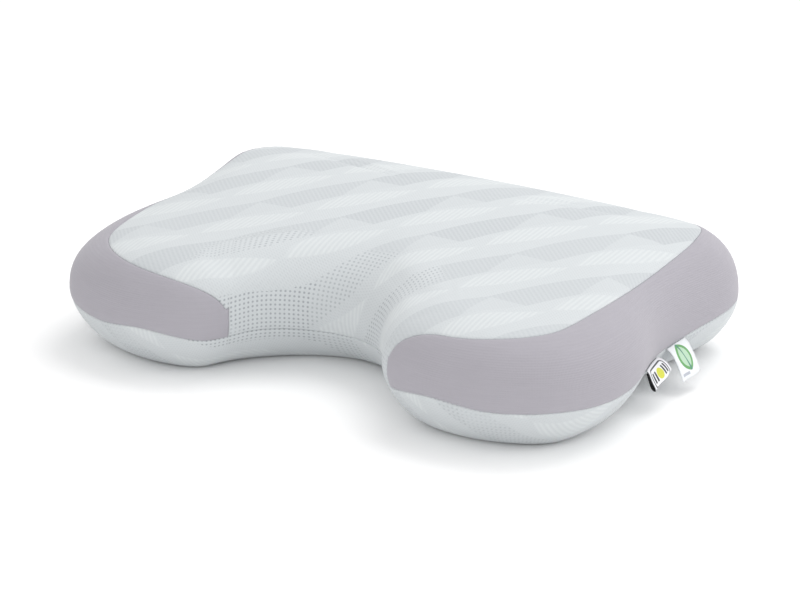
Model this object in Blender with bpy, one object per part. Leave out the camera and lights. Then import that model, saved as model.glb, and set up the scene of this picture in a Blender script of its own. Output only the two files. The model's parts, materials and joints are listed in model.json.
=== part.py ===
# Contour bed pillow with a shoulder cut-out: a moulded foam core in an inner liner,
# inside a knitted cover with a zip along its straight back edge.
# Metres. X runs along the pillow, -Y faces the cut-out, Z is up, and the pillow lies on Z = 0.
import math

import bmesh
import bpy
import numpy as np
from mathutils import Matrix, Vector

# Overall form
WIDTH = 0.600
DEPTH = 0.400
FRONT_HEIGHT = 0.1155
BACK_HEIGHT = 0.1318
CROWN = 0.007  # how much lower the top is at either end than in the middle
WAIST_HEIGHT = 0.056  # where the pillow is widest
UNDERSIDE_INSET = 0.046
TOP_ROUNDNESS = 2.4
UNDERSIDE_ROUNDNESS = 1.55
TOP_CENTRE_Y = 0.050
BASE_CENTRE_Y = 0.080
RISE_START_Y = -0.140
RISE_END_Y = 0.140

# Right half of the outline, from the middle of the cut-out round to the middle of the back,
# for a pillow of 600 x 400 mm. Each row: the outline's x and y, the x and y where the rounded
# shoulder meets the top, the lower seam's height (all mm), and how far up the shoulder the side
# seam runs (degrees).
DRAWN_WIDTH = 600.0
DRAWN_DEPTH = 400.0
OUTLINE = (
    (0, -97, 0, 5, 37, 50),
    (70, -138, 97, -75, 44, 50),
    (100, -182, 136, -116, 41, 50),
    (158, -203, 170, -138, 50, 52),
    (212, -198, 204, -134, 45, 60),
    (270, -168, 220, -114, 46, 67),
    (295, -118, 230, -98, 43, 73),
    (297, -58, 236, -58, 42, 72),
    (278, 8, 224, 8, 40, 57),
    (288, 90, 233, 86, 44, 62),
    (295, 138, 236, 112, 45, 69),
    (280, 176, 222, 130, 48, 64),
    (218, 196, 190, 139, 45, 56),
    (0, 199, 0, 143, 44, 50),
)

# Where things lie round the outline, as arc length from the middle of the cut-out
FRONT_NOSE = 0.135
BACK_NOSE_FROM_MIDDLE = 0.195
NOSE_RADIUS = 0.060
NOSE_ANGLE = 20  # degrees up the shoulder, where the side seam turns down to the lower seam
FRONT_LABEL_AT_Y = -0.008
REAR_LABEL_AT_Y = 0.050

# Layers, outside to inside
COVER_THICKNESS = 0.0022
LINER_THICKNESS = 0.0010
LAYER_GAP = 0.0005
CLEARANCE = 0.0003
SEAM_GAP = 0.0004

# Zip
ZIP_LENGTH = 0.320
ZIP_STRAIGHT_MARGIN = 0.012
ZIP_FADE = 0.050
ZIP_CHANNEL = 0.0055  # from the seam line to the cover's edge on either side
TAPE_THICKNESS = 0.0006
TAPE_DEPTH = 0.0004  # how deep the tape's outer face lies under the cover's surface
COIL_DIAMETER = 0.0018
STOP_LENGTH = 0.0025
SLIDER_LENGTH = 0.0090
SLIDER_WALL = 0.0009
BRIDGE_SPAN = 0.0050
BRIDGE_WIDTH = 0.0018
BRIDGE_WALL = 0.0009
PULL_LENGTH = 0.0240
PULL_WIDTH = 0.0060
PULL_THICKNESS = 0.0012
PULL_EYE_BAR = 0.0012

# Labels
LABEL_THICKNESS = 0.0007
FRONT_LABEL_WIDTH = 0.033
REAR_LABEL_WIDTH = 0.036
LABEL_STAND_OFF = 0.0006
# Side views, outward and upward from the seam, in mm
FRONT_LABEL_PATH = (
    (0, 0), (4, -1.5), (8, -6), (11.5, -14), (12, -18.5),
    (10, -19.5), (8.4, -17.5), (7, -12), (4.2, -6.5), (0.6, -3.4),
)
REAR_LABEL_PATH = ((0, 0), (6, -1.5), (12, -7), (17, -15), (21, -25))

# Grid
SCOOP_COLUMNS = 6
SIDE_COLUMNS = 28
BACK_COLUMNS = 3
ZIP_COLUMNS = 4
COLUMN_CLUSTERING = 0.88
PLATEAU_STEPS = 2
SHOULDER_STEPS = 3
SIDE_STEPS = 4
UNDERSIDE_STEPS = 3
COIL_SIDES = 10

collection = None


def clear_scene():
    for item in list(bpy.data.objects):
        bpy.data.objects.remove(item, do_unlink=True)


def material(name, color, roughness, metallic=0.0):
    made = bpy.data.materials.new(name)
    made.use_nodes = True
    shader = made.node_tree.nodes["Principled BSDF"]
    shader.inputs["Base Color"].default_value = (*color, 1.0)
    shader.inputs["Roughness"].default_value = roughness
    shader.inputs["Metallic"].default_value = metallic
    return made


def add_mesh(name, points, faces, finish):
    mesh = bpy.data.meshes.new(name)
    mesh.from_pydata([tuple(point) for point in points], [], faces)
    mesh.shade_smooth()
    made = bpy.data.objects.new(name, mesh)
    mesh.materials.append(finish)
    collection.objects.link(made)
    return made


# ---- the pillow's surface ----


def closed_spline(knots, rows):
    """A periodic cubic spline through the rows. Returns functions for its value and slope."""
    count = len(rows)
    step = np.diff(knots)
    before = np.roll(step, 1)
    after_slope = (np.roll(rows, -1, axis=0) - rows) / step[:, None]
    bend = 6 * (after_slope - np.roll(after_slope, 1, axis=0))
    system = np.zeros((count, count))
    for i in range(count):
        system[i, i - 1] += before[i]
        system[i, i] += 2 * (before[i] + step[i])
        system[i, (i + 1) % count] += step[i]
    curve = np.linalg.solve(system, bend)

    def parts(at):
        at = np.mod(at, knots[-1])
        i = np.clip(np.searchsorted(knots, at, side="right") - 1, 0, count - 1)
        h = step[i]
        b = (at - knots[i]) / h
        return i, (i + 1) % count, h[:, None], 1 - b[:, None], b[:, None]

    def value(at):
        i, j, h, a, b = parts(at)
        bent = (a**3 - a) * curve[i] + (b**3 - b) * curve[j]
        return a * rows[i] + b * rows[j] + bent * h**2 / 6

    def slope(at):
        i, j, h, a, b = parts(at)
        bent = (3 * b**2 - 1) * curve[j] - (3 * a**2 - 1) * curve[i]
        return (rows[j] - rows[i]) / h + bent * h / 6

    return value, slope


def smoothstep(start, end, at):
    t = np.clip((at - start) / (end - start), 0, 1)
    return t * t * (3 - 2 * t)


def outline_rows():
    """The outline's control rows all the way round, in metres and radians."""
    right = np.array(OUTLINE, float)
    left = right[1:-1][::-1] * (-1, 1, -1, 1, 1, 1)
    rows = np.vstack([right, left])
    rows[:, :5] /= 1000
    rows[:, 0:4:2] *= WIDTH * 1000 / DRAWN_WIDTH
    rows[:, 1:4:2] *= DEPTH * 1000 / DRAWN_DEPTH
    rows[:, 5] = np.radians(rows[:, 5])
    return rows


class Form:
    """The pillow's outer surface, over stations (arc length round the outline)."""

    def __init__(self):
        rows = outline_rows()
        chords = np.linalg.norm(np.roll(rows, -1, axis=0)[:, :2] - rows[:, :2], axis=1)
        knots = np.concatenate([[0], np.cumsum(np.sqrt(chords))])
        _, slope = closed_spline(knots, rows[:, :2])
        ahead = slope(knots[:-1])
        inward = np.stack([-ahead[:, 1], ahead[:, 0]], 1)
        inward /= np.linalg.norm(inward, axis=1, keepdims=True)
        base = rows[:, :2] + UNDERSIDE_INSET * inward
        self.value, _ = closed_spline(knots, np.hstack([rows[:, :4], base, rows[:, 4:]]))
        self.fine = np.linspace(0, knots[-1], 4001)
        lengths = np.linalg.norm(np.diff(self.value(self.fine)[:, :2], axis=0), axis=1)
        self.arc = np.concatenate([[0], np.cumsum(lengths)])
        self.round = self.arc[-1]
        self.half = self.round / 2

    def at(self, stations):
        """Points on the outline, the plateau's edge and the base's edge, then seam height and side seam angle."""
        value = self.value(np.interp(np.mod(stations, self.round), self.arc, self.fine))
        # Where the zip is sewn in, the back is straight: only x changes along it.
        straight = ZIP_LENGTH / 2 + ZIP_STRAIGHT_MARGIN
        from_middle = np.abs(np.mod(stations, self.round) - self.half)
        weight = 1 - smoothstep(straight, straight + ZIP_FADE, from_middle)[:, None]
        middle = self.value(self.fine[-1:] / 2)
        levelled = value + weight * (middle - value)
        for x in (0, 2, 4):
            levelled[:, x] = value[:, x]
        return levelled[:, 0:2], levelled[:, 2:4], levelled[:, 4:6], levelled[:, 6], levelled[:, 7]

    def nose_stations(self):
        front, back = FRONT_NOSE, self.half - BACK_NOSE_FROM_MIDDLE
        return front, back, self.round - back, self.round - front

    def side_seam_angle(self, stations, angle):
        """The side seam climbs from each nose on a quarter round, clipped at its foot."""
        nearest = np.min([np.abs(stations - nose) for nose in self.nose_stations()], axis=0)
        reach = np.clip(nearest / NOSE_RADIUS, 0, 1)
        return np.maximum(angle * np.sqrt(1 - (1 - reach) ** 2), math.radians(NOSE_ANGLE))


def top_height(x, y):
    rise = smoothstep(RISE_START_Y, RISE_END_Y, y)
    height = FRONT_HEIGHT + (BACK_HEIGHT - FRONT_HEIGHT) * rise
    return height - CROWN * (x / (WIDTH / 2)) ** 2


def shoulder(point, inner, angle):
    """The top's rounded shoulder: from level with the outline (0) up to the plateau (90 degrees)."""
    across = 1 - np.abs(np.cos(angle)) ** (2 / TOP_ROUNDNESS)
    up = np.abs(np.sin(angle)) ** (2 / TOP_ROUNDNESS)
    flat = point + across[:, None] * (inner - point)
    z = WAIST_HEIGHT + (top_height(flat[:, 0], flat[:, 1]) - WAIST_HEIGHT) * up
    return np.column_stack([flat, z])


def underside(point, inner, angle):
    """The lower rounding: from level with the outline (0) down to the flat base (90 degrees)."""
    across = 1 - np.abs(np.cos(angle)) ** (2 / UNDERSIDE_ROUNDNESS)
    down = np.abs(np.sin(angle)) ** (2 / UNDERSIDE_ROUNDNESS)
    flat = point + across[:, None] * (inner - point)
    return np.column_stack([flat, WAIST_HEIGHT * (1 - down)])


def lower_seam_angle(height):
    return np.arcsin((1 - height / WAIST_HEIGHT) ** (UNDERSIDE_ROUNDNESS / 2))


def stations_of(form):
    """Columns round the pillow, closer together at the noses, with the noses and zip ends on columns."""
    front, back, _, _ = form.nose_stations()
    zip_end = form.half - ZIP_LENGTH / 2
    scoop = front * np.sin(np.linspace(0, math.pi / 2, SCOOP_COLUMNS + 1))[:-1]
    t = np.linspace(0, 1, SIDE_COLUMNS + 1)[:-1]
    even = t - COLUMN_CLUSTERING * np.sin(2 * math.pi * t) / (2 * math.pi)
    side = front + (back - front) * even
    corner = np.linspace(back, zip_end, BACK_COLUMNS + 1)[:-1]
    zipped = np.linspace(zip_end, form.half, ZIP_COLUMNS + 1)[:-1]
    right = np.concatenate([scoop, side, corner, [zip_end - SEAM_GAP * 4], zipped])
    right = np.unique(np.round(right, 6))
    return np.concatenate([right, [form.half], form.round - right[1:][::-1]])


class Skin:
    """One closed grid over the whole pillow. Every layer is this grid, moved in along its normals."""

    def __init__(self):
        self.form = Form()
        self.stations = stations_of(self.form)
        self.columns = len(self.stations)
        point, plateau, base, seam_height, seam_angle = self.form.at(self.stations)
        side = self.form.side_seam_angle(self.stations, seam_angle)
        lower = lower_seam_angle(seam_height)
        centre = np.array([0.0, TOP_CENTRE_Y])
        rows = []
        for t in np.linspace(0, 1, PLATEAU_STEPS + 1)[1:-1]:
            flat = centre + t * (plateau - centre)
            rows.append(np.column_stack([flat, top_height(flat[:, 0], flat[:, 1])]))
        for t in np.linspace(0, 1, SHOULDER_STEPS + 1):
            rows.append(shoulder(point, plateau, math.pi / 2 + t * (side - math.pi / 2)))
        self.side_row = len(rows) - 1
        for t in np.linspace(0, 1, SIDE_STEPS + 1)[1:]:
            angle = side + t * (-lower - side)
            above = shoulder(point, plateau, np.maximum(angle, 0))
            below = underside(point, base, np.maximum(-angle, 0))
            rows.append(np.where((angle > 0)[:, None], above, below))
        self.lower_row = len(rows) - 1
        for t in np.linspace(0, 1, UNDERSIDE_STEPS + 1)[1:]:
            rows.append(underside(point, base, lower + t * (math.pi / 2 - lower)))
        self.row_count = len(rows)
        top = [*centre, float(top_height(centre[0], centre[1]))]
        self.points = np.vstack([*rows, top, [0.0, BASE_CENTRE_Y, 0.0]])
        right_front, right_back, left_back, left_front = self.form.nose_stations()
        middles = (self.stations + np.append(self.stations[1:], self.form.round)) / 2
        self.on_right = (middles > right_front) & (middles < right_back)
        self.on_left = (middles > left_back) & (middles < left_front)
        self.zipped = np.abs(self.stations - self.form.half) < ZIP_LENGTH / 2 + SEAM_GAP
        self.top_pole = len(self.points) - 2
        self.base_pole = len(self.points) - 1
        self.normals = self.point_normals()

    def index(self, row, column):
        return row * self.columns + column % self.columns

    def cell(self, row, column):
        """The triangles under this row at this column. Row -1 is the top's fan and the last row the base's."""
        if row < 0:
            return [(self.top_pole, self.index(0, column), self.index(0, column + 1))]
        if row == self.row_count - 1:
            return [(self.index(row, column + 1), self.index(row, column), self.base_pole)]
        ahead, here = self.index(row, column + 1), self.index(row, column)
        below, below_ahead = self.index(row + 1, column), self.index(row + 1, column + 1)
        if 2 * column < self.columns:
            return [(ahead, here, below), (ahead, below, below_ahead)]
        return [(here, below, below_ahead), (here, below_ahead, ahead)]

    def cells(self, wanted):
        rows = range(-1, self.row_count)
        chosen = [(r, c) for r in rows for c in range(self.columns) if wanted(r, c)]
        return [triangle for r, c in chosen for triangle in self.cell(r, c)]

    def point_normals(self):
        total = np.zeros_like(self.points)
        for face in self.cells(lambda row, column: True):
            corners = self.points[list(face)]
            following = np.roll(corners, -1, axis=0)
            normal = np.cross(corners, following).sum(axis=0)
            for i in face:
                total[i] += normal
        return total / np.linalg.norm(total, axis=1, keepdims=True)

    def layer(self, depth):
        return self.points - depth * self.normals


def rim_of(faces):
    """The directed edges that only one face uses."""
    edges = {pair for face in faces for pair in zip(face, face[1:] + face[:1])}
    return [(a, b) for a, b in edges if (b, a) not in edges]


def drawn_in(skin, points, rim, seam_side):
    """The points with each seam edge moved in along the surface, and clear of the zip where it runs."""
    moved = points.copy()
    inward = {}
    for a, b in rim:
        edge = points[b] - points[a]
        across = np.cross(skin.normals[a] + skin.normals[b], edge)
        across /= np.linalg.norm(across)
        inward.setdefault(a, []).append(across)
        inward.setdefault(b, []).append(across)
    for i, (first, second) in inward.items():
        row, column = divmod(i, skin.columns)
        if seam_side and row == skin.lower_row and skin.zipped[column]:
            along = points[skin.index(row + seam_side, column)] - points[i]
            moved[i] += ZIP_CHANNEL * along / np.linalg.norm(along)
        else:
            moved[i] += SEAM_GAP / 2 * (first + second) / (1 + first @ second)
    return moved


def shell(name, skin, faces, outer_depth, thickness, finish, seam_side=0):
    """A piece of the skin between two depths, closed round its edge.

    seam_side is -1 for a panel above the zip and 1 for one below it."""
    rim = rim_of(faces)
    outer = drawn_in(skin, skin.layer(outer_depth), rim, seam_side)
    inner = drawn_in(skin, skin.layer(outer_depth + thickness), rim, seam_side)
    used = sorted({i for face in faces for i in face})
    place = {i: n for n, i in enumerate(used)}
    count = len(used)
    out = [tuple(place[i] for i in face) for face in faces]
    back = [tuple(place[i] + count for i in reversed(face)) for face in faces]
    edge = [(place[b], place[a], place[a] + count, place[b] + count) for a, b in rim]
    return add_mesh(name, np.vstack([outer[used], inner[used]]), out + back + edge, finish)


def add_core(skin):
    depth = COVER_THICKNESS + LINER_THICKNESS + 2 * LAYER_GAP
    faces = skin.cells(lambda row, column: True)
    foam = material("memory foam", (0.86, 0.83, 0.74), 0.9)
    add_mesh("foam_core", skin.layer(depth), faces, foam)


def add_liner(skin):
    depth = COVER_THICKNESS + LAYER_GAP
    finish = material("liner jersey", (0.88, 0.88, 0.88), 0.9)
    upper = skin.cells(lambda row, column: row < skin.lower_row)
    lower = skin.cells(lambda row, column: row >= skin.lower_row)
    shell("liner_top", skin, upper, depth, LINER_THICKNESS, finish)
    shell("liner_bottom", skin, lower, depth, LINER_THICKNESS, finish)


def add_cover(skin):
    knit = material("jacquard knit", (0.70, 0.74, 0.75), 0.85)
    plain = material("plain knit", (0.42, 0.39, 0.43), 0.85)

    def right(row, column):
        return skin.side_row <= row < skin.lower_row and skin.on_right[column]

    def left(row, column):
        return skin.side_row <= row < skin.lower_row and skin.on_left[column]

    def top(row, column):
        return row < skin.lower_row and not right(row, column) and not left(row, column)

    def bottom(row, column):
        return row >= skin.lower_row

    panels = (
        ("cover_top_panel", top, knit, -1),
        ("cover_bottom_panel", bottom, knit, 1),
        ("cover_right_side_panel", right, plain, 0),
        ("cover_left_side_panel", left, plain, 0),
    )
    for name, wanted, finish, seam_side in panels:
        shell(name, skin, skin.cells(wanted), 0, COVER_THICKNESS, finish, seam_side)


# ---- flat pieces and blocks ----


def frame_matrix(origin, x_axis, y_axis):
    x, y = Vector(x_axis).normalized(), Vector(y_axis).normalized()
    turned = Matrix((x, y, x.cross(y))).transposed()
    return Matrix.Translation(Vector(origin)) @ turned.to_4x4()


def flat_outline(name, loops, thickness, frame, finish):
    """A closed outline in the frame's XY plane, with half its thickness on either side. Later loops are holes."""
    curve = bpy.data.curves.new(name, "CURVE")
    curve.dimensions = "2D"
    curve.fill_mode = "BOTH"
    curve.extrude = thickness / 2
    for loop in loops:
        spline = curve.splines.new("POLY")
        spline.points.add(len(loop) - 1)
        spline.use_cyclic_u = True
        for point, (x, y) in zip(spline.points, loop):
            point.co = (x, y, 0, 1)
    curve.materials.append(finish)
    made = bpy.data.objects.new(name, curve)
    made.matrix_world = frame
    collection.objects.link(made)
    return made


def as_mesh(made):
    """The same piece as a mesh with its caps joined to its sides."""
    name, frame = made.name, made.matrix_world.copy()
    bpy.context.view_layer.update()
    mesh = bpy.data.meshes.new_from_object(made.evaluated_get(bpy.context.evaluated_depsgraph_get()))
    bpy.data.objects.remove(made, do_unlink=True)
    edit = bmesh.new()
    edit.from_mesh(mesh)
    bmesh.ops.remove_doubles(edit, verts=edit.verts, dist=1e-6)
    edit.to_mesh(mesh)
    edit.free()
    solid = bpy.data.objects.new(name, mesh)
    solid.matrix_world = frame
    collection.objects.link(solid)
    return solid


def add_block(name, size, frame, finish):
    edit = bmesh.new()
    bmesh.ops.create_cube(edit, size=1.0, matrix=Matrix.Diagonal((*size, 1)))
    mesh = bpy.data.meshes.new(name)
    edit.to_mesh(mesh)
    edit.free()
    mesh.materials.append(finish)
    made = bpy.data.objects.new(name, mesh)
    made.matrix_world = frame
    collection.objects.link(made)
    return made


def add_rod(name, diameter, length, frame, finish):
    edit = bmesh.new()
    bmesh.ops.create_cone(
        edit, cap_ends=True, segments=COIL_SIDES, radius1=diameter / 2, radius2=diameter / 2, depth=length
    )
    mesh = bpy.data.meshes.new(name)
    edit.to_mesh(mesh)
    edit.free()
    mesh.shade_smooth()
    mesh.set_sharp_from_angle(angle=math.radians(50))
    mesh.materials.append(finish)
    made = bpy.data.objects.new(name, mesh)
    made.matrix_world = frame
    collection.objects.link(made)
    return made


def rounded_rectangle(low, high, radius, steps=4):
    """A rectangle from low to high with its corners rounded."""
    loop = []
    corners = ((high[0], high[1], 0), (low[0], high[1], 90), (low[0], low[1], 180), (high[0], low[1], 270))
    for x, y, start in corners:
        centre_x = x - math.copysign(radius, x - (low[0] + high[0]) / 2)
        centre_y = y - math.copysign(radius, y - (low[1] + high[1]) / 2)
        for k in range(steps + 1):
            turn = math.radians(start + 90 * k / steps)
            loop.append((centre_x + radius * math.cos(turn), centre_y + radius * math.sin(turn)))
    return loop


# ---- zip ----


class ZipPlace:
    """The straight channel in the back seam: its middle, and the directions up and out of it."""

    def __init__(self, skin):
        middle = skin.index(skin.lower_row, int(np.argmin(np.abs(skin.stations - skin.form.half))))
        seam = skin.points[middle]
        above = skin.points[middle - skin.columns] - seam
        below = skin.points[middle + skin.columns] - seam
        upper_edge = seam + ZIP_CHANNEL * above / np.linalg.norm(above)
        lower_edge = seam + ZIP_CHANNEL * below / np.linalg.norm(below)
        self.middle = Vector((upper_edge + lower_edge) / 2)
        self.half_width = float(np.linalg.norm(upper_edge - lower_edge)) / 2
        self.up = Vector(upper_edge - lower_edge).normalized()
        self.along = Vector((1, 0, 0))
        self.out = self.along.cross(self.up)
        if self.out.y < 0:
            self.out.negate()

    def at(self, along, up, out):
        return self.middle + along * self.along + up * self.up + out * self.out

    def profile(self, along, up, out):
        """A frame whose X is up the seam and whose Y is outward, so that an outline in it runs along the zip."""
        return frame_matrix(self.at(along, up, out), self.up, self.out)

    def flat(self, along, up, out):
        """A frame whose X is along the zip and whose Y is up the seam."""
        return frame_matrix(self.at(along, up, out), self.along, self.up)


def add_zip(skin):
    place = ZipPlace(skin)
    woven = material("zip tape", (0.72, 0.72, 0.74), 0.8)
    nylon = material("nylon coil", (0.80, 0.80, 0.80), 0.4)
    metal = material("painted zinc", (0.78, 0.78, 0.79), 0.35, 0.3)
    tape_top = -TAPE_DEPTH
    coil_middle = tape_top + CLEARANCE + COIL_DIAMETER / 2
    coil_offset = (CLEARANCE + COIL_DIAMETER) / 2
    coil_edge = coil_offset + COIL_DIAMETER / 2
    coil_top = coil_middle + COIL_DIAMETER / 2
    tape_inner = CLEARANCE / 2
    tape_outer = place.half_width - CLEARANCE
    stop_at = ZIP_LENGTH / 2 - 2 * CLEARANCE - STOP_LENGTH / 2
    coil_length = 2 * (stop_at - STOP_LENGTH / 2 - CLEARANCE)
    tape_length = ZIP_LENGTH - 2 * CLEARANCE
    for name, side in (("upper", 1), ("lower", -1)):
        middle = side * (tape_inner + tape_outer) / 2
        frame = place.flat(0, middle, tape_top - TAPE_THICKNESS / 2)
        size = (tape_length, tape_outer - tape_inner, TAPE_THICKNESS)
        add_block("zip_tape_" + name, size, frame, woven)
        frame = place.profile(0, side * coil_offset, coil_middle)
        add_rod("zip_coil_" + name, COIL_DIAMETER, coil_length, frame, nylon)
    slider_inner = coil_edge + CLEARANCE
    slider_outer = slider_inner + SLIDER_WALL
    stop_height = coil_top - tape_top
    for name, side in (("closed_end", -1), ("open_end", 1)):
        frame = place.flat(side * stop_at, 0, tape_top + CLEARANCE + stop_height / 2)
        add_block("zip_stop_" + name, (STOP_LENGTH, 2 * slider_outer, stop_height), frame, metal)

    # The slider straddles the coil, with a bridge on its back for the pull.
    slider_at = -(coil_length / 2 - SLIDER_LENGTH / 2)
    foot = tape_top + CLEARANCE
    ceiling = coil_top + CLEARANCE
    back = ceiling + SLIDER_WALL
    profile = (
        (-slider_outer, foot), (-slider_inner, foot), (-slider_inner, ceiling), (slider_inner, ceiling),
        (slider_inner, foot), (slider_outer, foot), (slider_outer, back), (-slider_outer, back),
    )
    slider = as_mesh(flat_outline("zip_slider", [profile], SLIDER_LENGTH, place.profile(slider_at, 0, 0), metal))
    bar_reach = math.hypot(PULL_THICKNESS, PULL_EYE_BAR) / 2
    pivot = back + CLEARANCE + bar_reach
    bridge_inner = BRIDGE_SPAN / 2
    bridge_outer = bridge_inner + BRIDGE_WALL
    bridge_ceiling = pivot + bar_reach + CLEARANCE
    bridge_top = bridge_ceiling + BRIDGE_WALL
    root = back - SLIDER_WALL / 2
    arch = (
        (-bridge_outer, root), (-bridge_inner, root), (-bridge_inner, bridge_ceiling),
        (bridge_inner, bridge_ceiling), (bridge_inner, root), (bridge_outer, root),
        (bridge_outer, bridge_top), (-bridge_outer, bridge_top),
    )
    side_on = frame_matrix(place.at(slider_at, 0, 0), place.along, place.out)
    bridge = as_mesh(flat_outline("bridge", [arch], BRIDGE_WIDTH, side_on, metal))
    bridge.hide_render = True
    bridge.display_type = "WIRE"
    joined = slider.modifiers.new("bridge", "BOOLEAN")
    joined.operation = "UNION"
    joined.object = bridge

    # The pull lies flat along the zip, with its eye round the bridge.
    corner = math.hypot(bridge_outer, bridge_top - pivot)
    eye_start = PULL_EYE_BAR / 2
    eye_end = corner + 2 * CLEARANCE
    eye_half = BRIDGE_WIDTH / 2 + CLEARANCE
    outline = rounded_rectangle(
        (-PULL_EYE_BAR / 2, -PULL_WIDTH / 2), (PULL_LENGTH, PULL_WIDTH / 2), PULL_EYE_BAR / 2
    )
    eye = [(eye_start, -eye_half), (eye_start, eye_half), (eye_end, eye_half), (eye_end, -eye_half)]
    flat_outline("zip_pull", [outline, eye], PULL_THICKNESS, place.flat(slider_at, 0, pivot), metal)


# ---- labels ----


def ribbon(path, thickness):
    """A strip of even thickness along an open path, as a closed outline."""
    track = np.array(path, float) / 1000
    ahead = np.diff(track, axis=0)
    ahead /= np.linalg.norm(ahead, axis=1, keepdims=True)
    aim = np.vstack([ahead[:1], ahead[:-1] + ahead[1:], ahead[-1:]])
    aim /= np.linalg.norm(aim, axis=1, keepdims=True)
    side = np.column_stack([-aim[:, 1], aim[:, 0]]) * thickness / 2
    return [tuple(point) for point in np.vstack([track - side, (track + side)[::-1]])]


def add_label(name, skin, at_y, width, path, finish):
    """A label sewn into the right side's lower seam, where it crosses at_y."""
    row = skin.points[skin.index(skin.lower_row, 0):][: skin.columns]
    front, back, _, _ = skin.form.nose_stations()
    fine = np.linspace(front, back, 2001)
    seam = np.column_stack([np.interp(fine, skin.stations, row[:, k]) for k in range(3)])
    edge = seam[np.abs(seam[:, 1] - at_y) < width / 2]
    along = Vector(edge[-1] - edge[0]).normalized()
    out = along.cross(Vector((0, 0, 1))).normalized()
    proud = max(Vector(p - edge[0]).dot(out) for p in edge)
    middle = Vector((edge[0] + edge[-1]) / 2) + (proud + LABEL_STAND_OFF) * out
    frame = frame_matrix(middle, out, -along.cross(out))
    flat_outline(name, [ribbon(path, LABEL_THICKNESS)], width, frame, finish)


def add_labels(skin):
    satin = material("label satin", (0.90, 0.90, 0.92), 0.5)
    add_label("side_label_folded", skin, FRONT_LABEL_AT_Y, FRONT_LABEL_WIDTH, FRONT_LABEL_PATH, satin)
    add_label("side_label_flat", skin, REAR_LABEL_AT_Y, REAR_LABEL_WIDTH, REAR_LABEL_PATH, satin)


def main():
    global collection
    clear_scene()
    collection = bpy.data.collections.new("contour_pillow")
    bpy.context.scene.collection.children.link(collection)
    skin = Skin()
    add_core(skin)
    add_liner(skin)
    add_cover(skin)
    add_zip(skin)
    add_labels(skin)


main()
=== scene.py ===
import json
import math

import bmesh
import bpy
import numpy as np
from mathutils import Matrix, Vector


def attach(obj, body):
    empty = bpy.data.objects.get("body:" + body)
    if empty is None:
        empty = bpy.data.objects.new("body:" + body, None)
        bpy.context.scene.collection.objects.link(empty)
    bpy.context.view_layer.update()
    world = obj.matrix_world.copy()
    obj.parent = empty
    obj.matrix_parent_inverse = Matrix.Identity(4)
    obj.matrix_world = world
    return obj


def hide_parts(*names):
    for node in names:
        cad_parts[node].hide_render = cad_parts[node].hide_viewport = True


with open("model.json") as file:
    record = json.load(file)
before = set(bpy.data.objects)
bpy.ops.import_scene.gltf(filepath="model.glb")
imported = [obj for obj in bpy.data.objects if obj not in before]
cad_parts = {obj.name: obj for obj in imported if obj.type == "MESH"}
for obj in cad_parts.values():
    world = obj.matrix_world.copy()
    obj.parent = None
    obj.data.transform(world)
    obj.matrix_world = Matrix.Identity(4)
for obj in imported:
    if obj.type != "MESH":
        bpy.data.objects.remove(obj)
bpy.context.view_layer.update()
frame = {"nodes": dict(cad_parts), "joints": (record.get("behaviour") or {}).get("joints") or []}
mm = 0.001

# node settings that several materials share
multiply, add, subtract = {"operation": "MULTIPLY"}, {"operation": "ADD"}, {"operation": "SUBTRACT"}
multiplyAdd, largest = {"operation": "MULTIPLY_ADD"}, {"operation": "MAXIMUM"}
absolute, length, scaled = {"operation": "ABSOLUTE"}, {"operation": "LENGTH"}, {"operation": "SCALE"}
fraction, whole, cosine = {"operation": "FRACT"}, {"operation": "FLOOR"}, {"operation": "COSINE"}
softStep, colourMix = {"interpolation_type": "SMOOTHSTEP"}, {"data_type": "RGBA"}


def srgb(hexColour):
    # sRGB hex to linear: the curve's power part above 0.04045, its straight part below
    parts = [int(hexColour[k:k + 2], 16) / 255 for k in (1, 3, 5)]
    linear = [((c + 0.055) / 1.055) ** 2.4 if c > 0.04045 else c / 12.92 for c in parts]
    return (*linear, 1.0)


def addNode(tree, kind, settings=None, links=None, output=0):
    # settings are the node's own properties, links are its inputs by name or number: a value, or another
    # node's output. Returns one of its outputs.
    node = tree.nodes.new("ShaderNode" + kind)
    for name, value in (settings or {}).items():
        setattr(node, name, value)
    for socket, source in (links or {}).items():
        if isinstance(source, bpy.types.NodeSocket):
            tree.links.new(source, node.inputs[socket])
        else:
            node.inputs[socket].default_value = source
    return node.outputs[output]


def newMaterial(name, **sockets):
    # Constants go on the shader's own sockets, with _ for a space in their names
    made = bpy.data.materials.new(name)
    made.use_nodes = True
    shader = made.node_tree.nodes["Principled BSDF"]
    for socket, value in sockets.items():
        shader.inputs[socket.replace("_", " ")].default_value = value
    return made, made.node_tree, shader


def finishWith(tree, shader, tone, height=None, depth=0.0):
    # The colour, and a bump as deep as depth where height is 1
    tree.links.new(tone, shader.inputs["Base Color"])
    if height is not None:
        normal = addNode(tree, "Bump", {}, {"Height": height, "Distance": depth, "Strength": 1.0})
        tree.links.new(normal, shader.inputs["Normal"])


def wave(tree, value, pitch):
    # 0 to 1 and back once in each pitch: half of 1 + cos(2 pi value / pitch)
    turned = addNode(tree, "Math", multiply, {0: value, 1: 2 * math.pi / pitch})
    swing = addNode(tree, "Math", cosine, {0: turned})
    return addNode(tree, "Math", multiplyAdd, {0: swing, 1: 0.5, 2: 0.5})


def clothPlace(tree):
    # The piece's own cloth coordinates in mm, and their two parts: across and along
    place = addNode(tree, "UVMap", {"uv_map": "fabric"})
    inMm = addNode(tree, "VectorMath", scaled, {0: place, "Scale": 1 / mm})
    u = addNode(tree, "SeparateXYZ", {}, {0: inMm})
    return inMm, u, u.node.outputs[1]


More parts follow.
